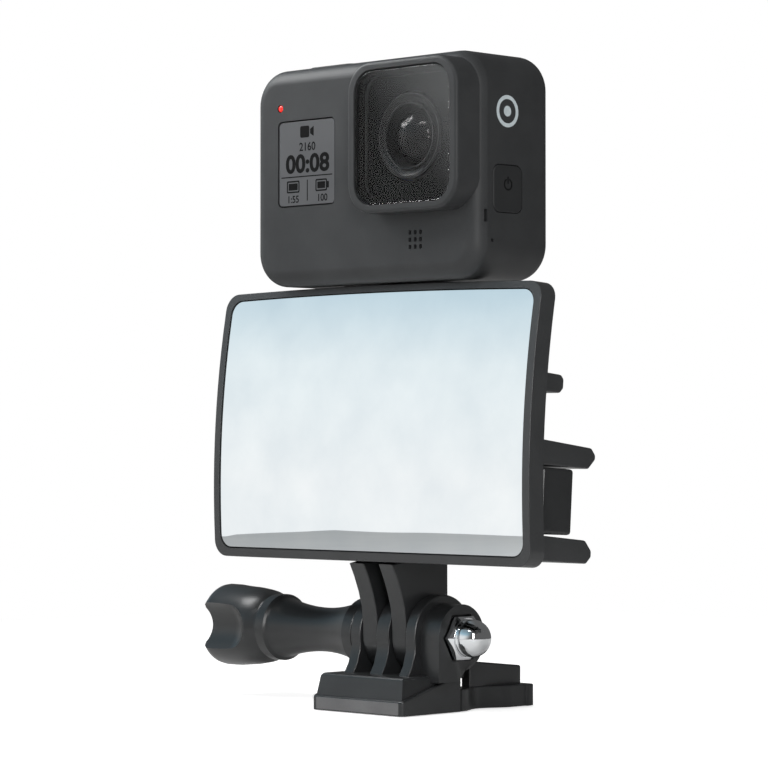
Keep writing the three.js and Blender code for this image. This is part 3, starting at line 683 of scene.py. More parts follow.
def makeDisplay():
    size = (displayHigh[0] - displayLow[0], displayHigh[2] - displayLow[2])
    window = roundedPanel(
        "displayWindow", displayMiddle, size, display["corner"], displayLow[1], displayHigh[1], 6)
    roundCap(window, "y", displayLow[1], 0.12, 2)
    finish(window, "camera", "display", ["display_window"])
    for row in display["figures"]:
        addFigures(*row)
    for row in display["bars"]:
        addBar(*row)
    x, z = display["horn"][:2]
    edit(addBar(*display["horn"]), "VERT", lambda v: v.co.x < (displayMiddle[0] + x) * mm,
         lambda: bpy.ops.transform.resize(
             value=(1, 1, display["hornShare"]), center_override=(0, 0, (displayMiddle[1] + z) * mm)))
    for row in display["framed"]:
        addFramedBar(*row)
    addBar(*display["batteryEnd"])
    figures = joinPieces(*printed)
    figures.name = "displayFigures"
    return finish(figures, "camera", "ink")


makeDisplay()

statusLight = {"radius": 0.72, "hub": 0.1, "crown": ((0.03, 0.5), (0.12, 0.85), (0.3, 1.0))}


def makeStatusLight():
    low, high = cornersOf("status_light")
    radius, hub = statusLight["radius"], statusLight["hub"]
    stations = [(low[1], hub), *((low[1] + along, radius * share) for along, share in statusLight["crown"]),
                (high[1], radius), (high[1] + 0.01, hub)]
    light = addTurned("statusLight", "y", middleOf(low, high), stations, 32)
    return finish(light, "camera", "light", ["status_light"], 40)


makeStatusLight()

buttons = {
    "shutterCorner": 2.9, "shutterRound": 0.45, "shutterThick": 2.3, "shutterStem": 1.6, "dish": 0.18,
    "dishRim": 1.1, "dishSlope": 0.5, "modeCorner": 1.8, "modeRound": 0.3, "modeThick": 1.45,
    "modeStem": 1.4, "symbolRadius": 1.25, "symbolLine": 0.3, "symbolLift": 0.05, "symbolRoot": 0.2,
    "symbolRise": 0.9, "symbolGap": 0.4, "strokeHalf": 0.14,
}


def makeShutterButton():
    low, high = cornersOf("shutter_button")
    cap = roundAlong(addBlock("shutterButton", [low[0], low[1], high[2] - buttons["shutterThick"]], high),
                     "z", buttons["shutterCorner"], 10)
    roundCap(cap, "z", high[2], buttons["shutterRound"], 4)
    edit(cap, "FACE", lambda f: f.normal.z > tolerance["side"]
         and f.calc_center_median().z > (high[2] - 0.01) * mm,
         lambda: bpy.ops.mesh.inset(thickness=buttons["dishRim"] * mm, depth=0),
         lambda: bpy.ops.mesh.inset(thickness=buttons["dishSlope"] * mm, depth=-buttons["dish"] * mm))
    fuse(cap, addRod("shutterStem", "z", buttons["shutterStem"], low[2], high[2] - 1.5,
                     middleOf(low, high, "xy"), 32))
    return finish(cap, "shutter_button", "shellShadedSide", ["shutter_button"])


def makeModeButton():
    low, high = cornersOf("mode_button")
    face = high[0]
    cap = roundAlong(addBlock("modeButton", [face - buttons["modeThick"], low[1], low[2]], high),
                     "x", buttons["modeCorner"])
    roundCap(cap, "x", face, buttons["modeRound"], 4)
    y, z = middleOf(low, high, "yz")
    fuse(cap, addRod("modeStem", "x", buttons["modeStem"], low[0], face - 1, (y, z), 32))
    finish(cap, "mode_button", "modeRubber", ["mode_button"])
    # a raised power symbol: an open ring and an upright stroke
    z += buttons["symbolRise"]
    radius, gap, half = buttons["symbolRadius"], buttons["symbolGap"], buttons["strokeHalf"]
    root, rise = face - buttons["symbolRoot"], face + buttons["symbolLift"]
    symbol = addRod("modeSymbol", "x", radius, root, rise, (y, z), 40)
    cutBore(symbol, "x", radius - buttons["symbolLine"], face - 1, face + 1, (y, z), 40)
    cutBy(symbol, addBlock("gap", [face - 1, y - gap, z], [face + 1, y + gap, z + 2]))
    fuse(symbol, addBlock("stroke", [root, y - half, z + 0.1], [rise, y + half, z + radius + 0.35]))
    return finish(symbol, "mode_button", "barrel")


makeShutterButton()
makeModeButton()

# ---------- side door, latch, rear screen, and a plain printed ring where a badge would be ----------

door = {
    "corner": 0.8, "edge": 0.35, "plate": 1.5, "ribs": 3, "ribStep": 1.6, "ribWide": 0.7, "ribHigh": 0.5,
    "ribInset": 0.6, "ribStart": 1.8, "knuckle": 1.2, "bore": 0.75, "inset": 0.4, "wellDepth": 0.8,
    "wellCorner": 0.7, "wellRun": 2.6, "wellGap": 0.3, "padDrop": 0.35, "padCorner": 0.6,
}


def makeSideDoor():
    low, high = cornersOf("side_door")
    pin, inset = middleOf(*cornersOf("door_pin")), door["inset"]
    plate = addBlock("sideDoor", [low[0], low[1], pin[1]], [low[0] + door["plate"], high[1], high[2]])
    roundAlong(plate, "x", door["corner"], 6)
    roundCap(plate, "x", low[0], door["edge"], 3)
    fuse(plate, addRod("knuckle", "y", door["knuckle"], low[1] + inset, high[1] - inset, pin, 40))
    cutBore(plate, "y", door["bore"], low[1] - 1, high[1] + 1, pin, 32)
    latchLow, latchHigh = cornersOf("door_latch")
    cutHole(plate, "x", [low[0] - 1, latchLow[1] - inset, latchLow[2] - door["wellRun"]],
            [low[0] + door["wellDepth"], latchHigh[1] + inset, latchHigh[2] + door["wellGap"]],
            door["wellCorner"], 5)
    return finish(plate, "side_door", "shellShadedSide", ["side_door"])


def makeLatch():
    low, high = cornersOf("door_latch")
    face, inset = low[0] + door["padDrop"], door["ribInset"]
    pad = roundAlong(addBlock("doorLatch", [face, low[1], low[2]], high), "x", door["padCorner"], 5)
    roundCap(pad, "x", face, 0.1, 2)
    for i in range(door["ribs"]):
        z = low[2] + door["ribStart"] + i * door["ribStep"]
        rib = addBlock("rib", [low[0], low[1] + inset, z],
                       [low[0] + door["ribHigh"], high[1] - inset, z + door["ribWide"]])
        fuse(pad, roundCap(rib, "x", low[0], 0.2, 3))
    return finish(pad, "door_latch", "shellShadedSide", ["door_latch"])


screen = {"corner": 1.9, "edge": 0.35}
ring = {"outer": 3.3, "inner": 2.5, "dot": 1.1, "z": 124.2, "root": 0.3, "lift": 0.012}


def makeRearScreen():
    low, high = cornersOf("rear_display_glass")
    size = (high[0] - low[0], high[2] - low[2])
    glass = roundedPanel("rearScreen", middleOf(low, high), size, screen["corner"], low[1], high[1], 8)
    roundCap(glass, "y", high[1], screen["edge"], 4)
    return finish(glass, "camera", "screen", ["rear_display_glass"])


def makePrintedRing():
    # a plain ring and dot printed on the side, well above the mode button
    middle = (middleOf(*cornersOf("mode_button"), "yz")[0], ring["z"])
    side = bodyHigh[0]
    mark = addRod("printedRing", "x", ring["outer"], side - ring["root"], side + ring["lift"], middle)
    cutBore(mark, "x", ring["inner"], side - 1, side + 1, middle, 64)
    fuse(mark, addRod("dot", "x", ring["dot"], side - ring["root"], side + ring["lift"], middle, 48))
    return finish(mark, "camera", "mark")


makeSideDoor()
makeLatch()
makeRearScreen()
makePrintedRing()

# ---------- folding fingers and the clamp that crosses them ----------

upper = {
    "edge": 0.35, "inset": 0.4, "bore": 2.65, "rootBore": 1.1, "lobes": 12, "flute": 0.85, "away": 0.35,
    "headEnd": 1.4, "boreStart": 1.5, "nutRadius": 5.0, "nutCorner": 5.1, "nutFace": 4.1,
}
upperMiddle = middleOf(*cornersOf("camera_washer"), "yz")


def makeFinger(side):
    node = "finger_" + side
    low, high = cornersOf(node)
    radius = (high[1] - low[1]) / 2
    blade = addBlock("finger" + side.capitalize(),
                     [low[0], upperMiddle[0] - radius + upper["inset"], upperMiddle[1]],
                     [high[0], upperMiddle[0] + radius - upper["inset"], high[2]])
    fuse(blade, addRod("eye", "x", radius, low[0], high[0], upperMiddle, 72))
    cleanSides(blade, 0.2)
    for level in (low[0], high[0]):
        roundCap(blade, "x", level, upper["edge"], 2)
    cutBore(blade, "x", upper["bore"], low[0] - 1, high[0] + 1, upperMiddle, 40)
    root = middleOf(*cornersOf("finger_pin_" + side))
    cutBore(blade, "y", upper["rootBore"], low[1] - 1, high[1] + 1, root, 32)
    return finish(blade, "camera", "nylon", [node])


def makeUpperKnob():
    low, high = cornersOf("camera_screw_knob")
    radius = (high[1] - low[1]) / 2
    piece = addRod("cameraScrewKnob", "x", radius, low[0], high[0], upperMiddle, 72)
    away = radius + upper["away"]
    for i in range(upper["lobes"]):
        a = 2 * math.pi * i / upper["lobes"]
        place = (upperMiddle[0] + away * math.cos(a), upperMiddle[1] + away * math.sin(a))
        cutBore(piece, "x", upper["flute"], low[0] - 1, high[0] - upper["headEnd"], place, 20)
    cutBore(piece, "x", upper["bore"], low[0] + upper["boreStart"], high[0] + 1, upperMiddle, 40)
    softenEdges(piece, 0.25, 2)
    return finish(piece, "camera_screw", "nylon", ["camera_screw_knob"])


def makeUpperNut():
    low, high = cornersOf("camera_screw_nut")
    nut = addRod("cameraScrewNut", "x", upper["nutRadius"], low[0], high[0], upperMiddle, 6)
    corner = upper["nutCorner"]
    stations = [(low[0] - 0.01, corner), (high[0] - 0.9, corner), (high[0] + 0.01, upper["nutFace"])]
    combine(nut, addTurned("chamfer", "x", upperMiddle, stations, 48), "INTERSECT")
    cutBore(nut, "x", upper["bore"], low[0] - 1, high[0] - 0.3, upperMiddle, 40)
    return finish(nut, "bracket", "steel", ["camera_screw_nut"])


makeFinger("left")
makeFinger("right")
makeUpperKnob()
makeUpperNut()


# ---------- mirror: bowed frame with clip arms, foam pad and silvered acrylic ----------

mirror = {
    "wide": 93.0, "tall": 57.5, "thick": 4.4, "bulge": 2.0, "crown": 0.7, "front": -13.9, "bottom": 31.6,
    "corner": 3.4, "border": 1.8, "pocketDepth": 2.6, "glass": (0.25, 1.45), "pad": (1.75, 2.3),
    "pocketCorner": 3.0, "glassCorner": 2.8, "padCorner": 2.6, "arms": (32, 44), "armRoot": 3.0, "edge": 0.45,
    # rear end, low and high at the root, low and high at the end, chamfers
    "armRows": ((21.3, 20.8, 26.1, 20.75, 25.0, (2.0, 1.3)), (21.2, 1.4, 6.7, 1.4, 6.1, (1.4, 2.0)),
                (10.5, 35.6, 39.6, 35.6, 39.3, (1.0, 0.8))),
}
slideAxis = next(j for j in frame["joints"] if j["name"] == "mirror_unclip")["axis"]
lean = math.atan2(slideAxis[2], -slideAxis[1])


def leanBack(piece):
    piece.rotation_euler.x = -lean
    piece.location = (0, mirror["front"] * mm, mirror["bottom"] * mm)
    return applyPlace(piece)


def bowedPanel(name, inset, radius, y0, y1, rows=14, columns=12, segments=8):
    # a rounded panel cut into rows and columns, arched along its top and bowed towards the viewer
    wide, tall = mirror["wide"] - 2 * inset, mirror["tall"] - 1.8 * inset
    panel = roundedPanel(name, (0, inset + tall / 2), (wide, tall), radius, y0, y1, segments)
    for count, number, start, length in ((rows, 2, inset, tall), (columns, 0, -wide / 2, wide)):
        normal = [0, 0, 0]
        normal[number] = 1
        for i in range(1, count):
            point = [0, 0, 0]
            point[number] = (start + length * i / count) * mm
            edit(panel, "FACE", lambda f: True,
                 lambda: bpy.ops.mesh.bisect(plane_co=point, plane_no=normal))
    top = (inset + tall - radius - 0.5) * mm
    for x in sorted({round(v.co.x, 7) for v in panel.data.vertices}):
        lift = mirror["crown"] * mm * (1 - (x / (wide / 2 * mm)) ** 2)
        edit(panel, "VERT", lambda v: abs(v.co.x - x) < 1e-6 and v.co.z > top,
             lambda: bpy.ops.transform.translate(value=(0, 0, lift)))
    half = mirror["tall"] / 2 * mm
    for z in sorted({round(v.co.z, 6) for v in panel.data.vertices}):
        push = -mirror["bulge"] * mm * (1 - ((z - half) / half) ** 2)
        edit(panel, "VERT", lambda v: abs(v.co.z - z) < 6e-7,
             lambda: bpy.ops.transform.translate(value=(0, push, 0)))
    return panel


def addArm(x0, x1, root, y1, z0, z1, endLow, endHigh, chamfers):
    # a flat arm that narrows to its end, with its two end edges cut off at a slant
    arm = addBlock("arm", [x0, root, z0], [x1, y1, z1])
    tip, middle = (y1 - 0.1) * mm, (z0 + z1) / 2 * mm
    edit(arm, "VERT", lambda v: v.co.y > tip and v.co.z > middle,
         lambda: bpy.ops.transform.translate(value=(0, 0, (endHigh - z1) * mm)))
    edit(arm, "VERT", lambda v: v.co.y > tip and v.co.z < middle,
         lambda: bpy.ops.transform.translate(value=(0, 0, (endLow - z0) * mm)))
    for chamfer, level in zip(chamfers, (endLow, endHigh)):
        roundEdges(arm, lambda e: all(
            v.co.y > tip and abs(v.co.z - level * mm) < 1e-6 for v in e.verts), chamfer, 1)
    return softenEdges(arm, 0.35, 2, 25)


def makeMirrorFrame():
    shell = bowedPanel("mirrorFrame", 0, mirror["corner"], 0, mirror["thick"])
    roundEdges(shell, lambda e: len(e.link_faces) == 2 and e.calc_face_angle(0) > math.radians(60)
               and (e.verts[0].co.y + e.verts[1].co.y) / 2 < mirror["thick"] * mm, mirror["edge"], 3)
    cutBy(shell, bowedPanel("pocket", mirror["border"], mirror["pocketCorner"], -3, mirror["pocketDepth"]))
    for side in (-1, 1):
        x0, x1 = sorted(side * x for x in mirror["arms"])
        fuse(shell, *[addArm(x0, x1, mirror["armRoot"], *row) for row in mirror["armRows"]])
    leanBack(shell)
    return finish(shell, "mirror", "frame", ["mirror_frame"], 28)


def makeMirrorGlass():
    y0, y1 = mirror["glass"]
    glass = bowedPanel("mirrorGlass", mirror["border"] + 0.3, mirror["glassCorner"], y0, y1, rows=28)
    leanBack(glass)
    return finish(glass, "mirror", "mirror", ["mirror_glass"])


def makeMirrorPad():
    y0, y1 = mirror["pad"]
    pad = bowedPanel("mirrorPad", mirror["border"] + 0.6, mirror["padCorner"], y0, y1, columns=6)
    leanBack(pad)
    return finish(pad, "mirror", "foam", ["mirror_pad"])


makeMirrorFrame()
makeMirrorGlass()
makeMirrorPad()

# ---------- bracket: two tines, stem, cross bar and three lugs for the camera's fingers ----------

clamp = {
    "height": 15.6, "tineRadius": 8.2, "lugRadius": 8.8, "bore": 2.85, "upperLug": 8.0,
    "upperRadius": 6.2, "edge": 0.35, "swingGap": 0.5,
}
clampMiddle = (0, clamp["height"])
spanX = {
    "tines": [(-6.35, -2.12), (2.12, 6.35)], "lugs": [(-9.5, -6.65), (-1.82, 1.82), (6.65, 9.5)],
    "upper": [(-8.0, -5.0), (-1.4, 1.4), (5.0, 8.0)],
}
# outlines seen from the side, as y and z, apart from the gusset, which is x and y
bracket = {
    "tine": [(-8.2, 15.6), (-8.25, 18.5), (-8.6, 21.6), (-9.6, 25), (-10.9, 28.2), (-12.3, 31), (-8.9, 31.6),
             (-8.7, 34), (4.7, 34), (4.7, 24), (4.9, 19), (5.8, 15.6)],
    "stem": [(-8.75, 31.4), (4.7, 31.4), (4.7, 40), (3.6, 46.5), (2.5, 53), (2.6, 58), (3.4, 63), (4.9, 68.6),
             (5.8, 72.5), (6.0, 76), (-5.2, 76), (-6.1, 73)],
    "head": [(-6.1, 66), (3.6, 66), (5.4, 70), (6.4, 75.2), (-5.3, 75.2), (-6.1, 71)],
    "upperFoot": [(-5.4, 74), (6.4, 74)],
    "gusset": [(-20, 6), (20, 6), (6.3, 16.4), (-6.3, 16.4)], "gussetZ": (7.4, 20),
    "bar": ([-44.3, 5.2, 7], [44.3, 14.45, 20.4]), "barEdge": 0.7, "stemEdge": 0.5, "headEdge": 0.4,
    "fingerSpan": (1.4, 5.0),
}


def addLug(name, x0, x1, radius, middle, outline, bore):
    # a round eye that runs into a foot of its own outline, bored through, with its rims rounded
    lug = addPlate(name, "x", outline, x0, x1)
    fuse(lug, addRod("eye", "x", radius, x0, x1, middle, 96))
    cleanSides(lug, 0.25)
    for level in (x0, x1):
        roundCap(lug, "x", level, clamp["edge"], 3)
    return cutBore(lug, "x", bore, x0 - 1, x1 + 1, middle)


def makeBracket():
    tines = [addLug("tine", x0, x1, clamp["tineRadius"], clampMiddle, bracket["tine"], clamp["bore"])
             for x0, x1 in spanX["tines"]]
    stem = addPlate("bracketStem", "x", bracket["stem"], spanX["tines"][0][0], spanX["tines"][1][1])
    softenEdges(stem, bracket["stemEdge"], 3, 40)
    head = addPlate("head", "x", bracket["head"], -clamp["upperLug"], clamp["upperLug"])
    softenEdges(head, bracket["headEdge"], 2, 40)
    radius = clamp["upperRadius"]
    foot = [*bracket["upperFoot"], (upperMiddle[0] + radius, upperMiddle[1]),
            (upperMiddle[0] - radius, upperMiddle[1])]
    uppers = [addLug("upperLug", x0, x1, radius, upperMiddle, foot, upper["bore"])
              for x0, x1 in spanX["upper"]]
    bar = softenEdges(addBlock("bar", *bracket["bar"]), bracket["barEdge"], 3)
    gusset = addPlate("gusset", "z", bracket["gusset"], *bracket["gussetZ"])
    fuse(stem, head, leanBack(bar), leanBack(gusset))
    for side in (-1, 1):
        x0, x1 = sorted(side * x for x in bracket["fingerSpan"])
        cutBore(stem, "x", radius + clamp["swingGap"], x0, x1, upperMiddle, 96)
    joinPieces(stem, *tines, *uppers)
    return finish(stem, "bracket", "nylon", ["bracket"], 28)


makeBracket()

# ---------- quick-release buckle: wedge, three lugs, nut boss, centre plate, two squeeze arms ----------

buckle = {
    "half": 13.4, "front": -16.6, "rear": 1.0, "toe": 3.0, "deck": 7.8, "draft": 1.4, "sideTop": 7.3,
    "skirtRun": -1, "wedgeInset": (0.55, 0.25, 0.06), "wedgeBase": 0.6, "bossRadius": 7.0,
    "bossSpan": (8.53, 14.7), "pocket": 5.6, "pocketDepth": 1.1, "tail": (11.8, -1.0, 20.0, 3.2),
    "edge": 0.45, "frontCorner": 1.1, "deckRound": 0.7, "stripInset": (1.3, 0.5), "stripShift": 0.2,
    "tineSlots": ((-6.67, -1.8), (1.8, 6.67)), "armTop": 4.7, "armInner": 7.9, "armWaist": 2.6,
    "armSteps": 16, "waistRun": (1.8, 15.4), "wall": (10.5, 7.0, 23.2),
    "lug": [(-11.6, 6.53), (6.4, 6.53), (6.4, 10.6), (5.6, 13.2), (4.1, 15.7), (-8.3, 15.7), (-8.75, 12.6),
            (-9.6, 9.8)],
    "boss": [(-6.95, 6.47), (-1.07, 6.47), (3.03, 10.6), (3.03, 15.6), (-6.95, 15.6)],
    "armEnd": [(14, 21.5), (14, 23.2), (13.6, 23.6)],
}


def makeBuckle():
    half, front, rear = buckle["half"], buckle["front"], buckle["rear"]
    toe, deck, draft, sideTop = buckle["toe"], buckle["deck"], buckle["draft"], buckle["sideTop"]
    skirtSide = [(front, 0), (rear, 0), (rear, sideTop), (buckle["skirtRun"], sideTop), (front, toe)]
    skirt = addPlate("buckleBase", "x", skirtSide, -half, half)
    roundEdges(skirt, lambda e: runsAlong(e, "z") and e.verts[0].co.y < (front + 0.1) * mm,
               buckle["frontCorner"], 5)
    roundEdges(skirt, lambda e: e.calc_face_angle(0) > math.radians(25) and not runsAlong(e, "z")
               and min(v.co.z for v in e.verts) > 0.5 * mm and max(v.co.y for v in e.verts) < 0.9 * rear * mm,
               buckle["edge"], 3)
    insetX, insetFront, insetRear = buckle["wedgeInset"]
    wedge = addBlock("wedge", [-half + insetX, front + insetFront, buckle["wedgeBase"]],
                     [half - insetX, rear - insetRear, deck])
    top = (deck - 0.1) * mm
    edit(wedge, "VERT", lambda v: v.co.z > top,
         lambda: bpy.ops.transform.resize(value=((half - draft) / (half - insetX), 1, 1)))
    edit(wedge, "VERT", lambda v: v.co.z > top and v.co.y < 0,
         lambda: bpy.ops.transform.translate(value=(0, draft * mm, 0)))
    roundCap(wedge, "z", deck, buckle["deckRound"], 4)
    tailWide, tailStart, tailEnd, tailTop = buckle["tail"]
    tail = addBlock("tail", [-tailWide / 2, tailStart, 0.02], [tailWide / 2, tailEnd, tailTop])
    roundEdges(tail, lambda e: runsAlong(e, "z") and e.verts[0].co.y > 0.01, 2, 6)
    roundCap(tail, "z", tailTop, 0.35, 2)
    fuse(skirt, wedge, tail)
    for x0, x1 in buckle["tineSlots"]:
        cutBore(skirt, "x", clamp["tineRadius"] + clamp["swingGap"], x0, x1, clampMiddle, 96)
    lugs = [addLug("lug", x0, x1, clamp["lugRadius"], clampMiddle, buckle["lug"], clamp["bore"])
            for x0, x1 in spanX["lugs"]]
    start, end = buckle["bossSpan"]
    boss = addLug("boss", start, end, buckle["bossRadius"], clampMiddle, buckle["boss"], clamp["bore"])
    cutBore(boss, "x", buckle["pocket"], end - buckle["pocketDepth"], end + 1, clampMiddle, 6)
    joinPieces(skirt, *lugs, boss)
    return finish(skirt, "buckle", "nylon", ["buckle_base"], 28)


def makeToeStrip():
    # the flat nose of the wedge, painted lighter than the rest: a painted reflection of the pale floor
    insetX, insetZ = buckle["stripInset"]
    front, size = buckle["front"], (2 * (buckle["half"] - insetX), buckle["toe"] - insetZ)
    strip = roundedPanel("toeStrip", (buckle["stripShift"], buckle["toe"] / 2), size, 0.25,
                         front - 0.03, front + 0.3, 3)
    return finish(strip, "buckle", "toe")


def makeReleaseArm(side):
    node = "release_arm_" + side
    half, inner, steps = buckle["half"], buckle["armInner"], buckle["armSteps"]
    start, run = buckle["waistRun"]
    waist = [(half - buckle["armWaist"] * math.sin(math.pi * i / steps) ** 2, start + run * i / steps)
             for i in range(steps + 1)]
    plan = [(inner, 1.3), (half, 1.3), *waist, (half, 21.4), *buckle["armEnd"], (inner, 23.6)]
    arm = addPlate("releaseArm" + side.capitalize(), "z", plan, 0, buckle["armTop"])
    softenEdges(arm, 0.3, 2, 35)
    wallEnd, wallStart, wallRear = buckle["wall"]
    wall = addPlate("wall", "x", [(wallStart, 4), (wallRear, 4), (wallRear, 8.5), (wallStart, 10.2)],
                    inner, wallEnd)
    fuse(arm, softenEdges(wall, 0.4, 3, 35))
    if side == "left":
        arm.scale.x = -1
        applyPlace(arm)
        edit(arm, "FACE", lambda f: True, lambda: bpy.ops.mesh.normals_make_consistent(inside=False))
    return finish(arm, node, "nylon", [node], 28)


makeBuckle()
makeToeStrip()
makeReleaseArm("left")
makeReleaseArm("right")

# ---------- clamp screw: scalloped thumb knob, washer and acorn nut ----------

knob = {
    "end": -57.9, "headRadius": 9.1, "ring": (-41.2, -38.2, 7.3), "waistAt": -25.4, "waist": 4.8,
    "flare": 2.9, "flareRun": 14, "flareMost": 6.8, "ringSide": 0.75, "waistSteps": 16, "lobes": 3,
    "collar": (-14.0, -10.8, 7.4), "collarRoot": 6.6, "scallop": 6.6, "scallopAway": 11.7,
    "scallopEnd": -49.5, "bore": 2.85, "boreStart": -33,
    # steps of the head, past its end and past its radius, after the first flat face
    "face": (1.6, 3.4),
    "head": ((0.35, -2.4), (0, -1.7), (0.3, -0.8), (1.2, -0.15), (2.4, 0), (6, -0.05), (11, -0.5),
             (14.5, -1.1)),
}


def makeKnob():
    end, bore = knob["end"], knob["bore"]
    ringStart, ringEnd, ringRadius = knob["ring"]
    collarStart, collarEnd, collarRadius = knob["collar"]
    stations = [(end + knob["face"][0], knob["face"][1])]
    stations += [(end + along, knob["headRadius"] + grow) for along, grow in knob["head"]]
    stations += [(ringStart - 0.9, ringRadius - 0.35), (ringStart, ringRadius - 0.5),
                 (ringStart + 0.3, ringRadius), (ringEnd - 0.3, ringRadius), (ringEnd, ringRadius - 0.45)]
    start, stop, steps = ringEnd + 0.4, collarStart - 0.6, knob["waistSteps"]
    for i in range(steps + 1):
        x = start + (stop - start) * i / steps
        flare = knob["flare"] * (1 if x > knob["waistAt"] else knob["ringSide"])
        grown = knob["waist"] + flare * ((x - knob["waistAt"]) / knob["flareRun"]) ** 2
        stations.append((x, min(grown, knob["flareMost"])))
    stations += [(collarStart - 0.2, knob["collarRoot"]), (collarStart, collarRadius - 0.3),
                 (collarStart + 0.3, collarRadius), (collarEnd - 0.3, collarRadius),
                 (collarEnd, collarRadius - 0.3), (collarEnd, 0.3)]
    piece = addTurned("clampKnob", "x", clampMiddle, stations, 96)
    radius, away = knob["scallop"], knob["scallopAway"]
    scoop = [(end - 6, radius)]
    for b in range(0, 85, 7):
        turn = math.radians(b)
        scoop.append((knob["scallopEnd"] + radius * math.sin(turn), radius * math.cos(turn)))
    for i in range(knob["lobes"]):
        a = math.pi + 2 * math.pi * i / knob["lobes"]
        place = (clampMiddle[0] + away * math.cos(a), clampMiddle[1] + away * math.sin(a))
        cutBy(piece, addTurned("scallop", "x", place, scoop, 96))
    softenEdges(piece, 0.6, 4, 50)
    cutBore(piece, "x", bore, knob["boreStart"], collarEnd + 1, clampMiddle)
    return finish(piece, "clamp_knob", "nylon", ["clamp_knob"], 32)


washer = {"radius": 6.4, "edge": 0.12}
nut = {
    "radius": 5.2, "end": 16.4, "corner": 5.3, "cornerEnd": 15.5, "face": (16.42, 4.2), "cap": 3.95,
    "boreEnd": 18.4,
}


def makeWasher():
    low, high = cornersOf("clamp_washer")
    piece = addRod("clampWasher", "x", washer["radius"], low[0], high[0], clampMiddle, 72)
    cutBore(piece, "x", knob["bore"], low[0] - 1, high[0] + 1, clampMiddle)
    softenEdges(piece, washer["edge"], 2)
    return finish(piece, "screw_carriage", "steel", ["clamp_washer"])


def makeAcornNut():
    low, high = cornersOf("acorn_nut")
    radius = nut["cap"]
    centre = high[0] - radius
    hexagon = addRod("acornNut", "x", nut["radius"], low[0], nut["end"], clampMiddle, 6)
    stations = [(low[0] - 0.1, nut["corner"]), (nut["cornerEnd"], nut["corner"]), nut["face"]]
    combine(hexagon, addTurned("chamfer", "x", clampMiddle, stations, 64), "INTERSECT")
    stations = [(low[0] + 0.4, radius), (centre - 1.0, radius), (centre - 0.75, radius - 0.14),
                (centre - 0.5, radius)]
    for b in (*range(0, 85, 6), 88):
        turn = math.radians(b)
        stations.append((centre + radius * math.sin(turn), radius * math.cos(turn)))
    fuse(hexagon, addTurned("cap", "x", clampMiddle, stations))
    cutBore(hexagon, "x", knob["bore"], low[0] - 1, nut["boreEnd"], clampMiddle)
    return finish(hexagon, "buckle", "chrome", ["acorn_nut"])


makeKnob()
makeWasher()
makeAcornNut()


# ---------- every CAD node that still shows gets its finish ----------

carried = {
    "mask": ["lens_gasket", "lens_mask", "speaker"],
    "barrel": ["lens_barrel"],
    "dome": ["lens_dome", "rear_lens_element"],
    "screen": ["image_sensor", "display_panel", "rear_display_panel", "rear_display_glass"],
    "board": ["sensor_board", "main_board"],
    "display": ["display_window"],
    "light": ["status_light"],
    "alloy": ["shutter_switch", "mode_switch", "heat_spreader"],
    "rubber": ["mode_button", "door_seal"],
    "steel": ["door_pin", "usb_socket", "finger_pin_left", "finger_pin_right", "clamp_screw", "clamp_washer",
              "camera_screw", "camera_washer", "camera_screw_nut"],
    "wrap": ["battery"],
    "shell": ["front_shell", "rear_shell", "lens_housing", "shutter_button"],
    "shellShadedSide": ["side_door", "door_latch"],
    "nylon": ["memory_card", "finger_left", "finger_right", "bracket", "buckle_base", "release_arm_left",
              "release_arm_right", "clamp_knob", "camera_screw_knob"],
    "chrome": ["acorn_nut"],
    "coverGlass": ["lens_cover_glass"],
    "frame": ["mirror_frame"],
    "foam": ["mirror_pad"],
    "mirror": ["mirror_glass"],
}
for finishName, nodes in carried.items():
    for node in nodes:
        piece = frame["nodes"][node]
        piece.data.materials.clear()
        piece.data.materials.append(finishes[finishName])
print("CAD nodes painted")

# ---------- stage: pale floor, soft lights, camera ----------

studio = {
    "azimuth": 44.5, "distance": 660, "height": 57, "aim": (-4.137, -4.065), "pitch": 1.035, "lens": 145.3,
    "sensor": 36, "floor": 620, "floorLight": "#f1f1f0", "floorDark": "#ececec", "floorGlow": 0.65,
    "sky": ((0.0, "#ffffff"), (1.0, "#8d9599"), (0.2, "#f4fafc"), (0.42, "#a9cbdc"), (0.62, "#8ea5b1")),
    "glow": (-46, 30), "glowEdge": (0.25, 0.85), "glowStrength": 1.0, "dimStrength": 0.13,
    "roomStrength": 0.42,
}


def makeFloor():
    size = studio["floor"] / 2
    floor = addBlock("studioFloor", [-size, -size, -20], [size, size, 0])
    floor.location.z = -0.0002
    applyPlace(floor)
    material, tree, surface, where = startMaterial("matteBoard", Roughness=0.9, IOR=1.45)
    paint(tree, surface, noise(tree, where, size=30, detail=3), studio["floorDark"], studio["floorLight"],
          0.3, 0.7)
    # seen directly, the board is bright enough to meet the white behind it
    seen = addNode(tree, "ShaderNodeLightPath").outputs["Is Camera Ray"]
    feed(tree, surface, "Emission Strength", seen, 0.0, studio["floorGlow"])
    surface.inputs["Emission Color"].default_value = (1, 1, 1, 1)
    floor.data.materials.append(material)


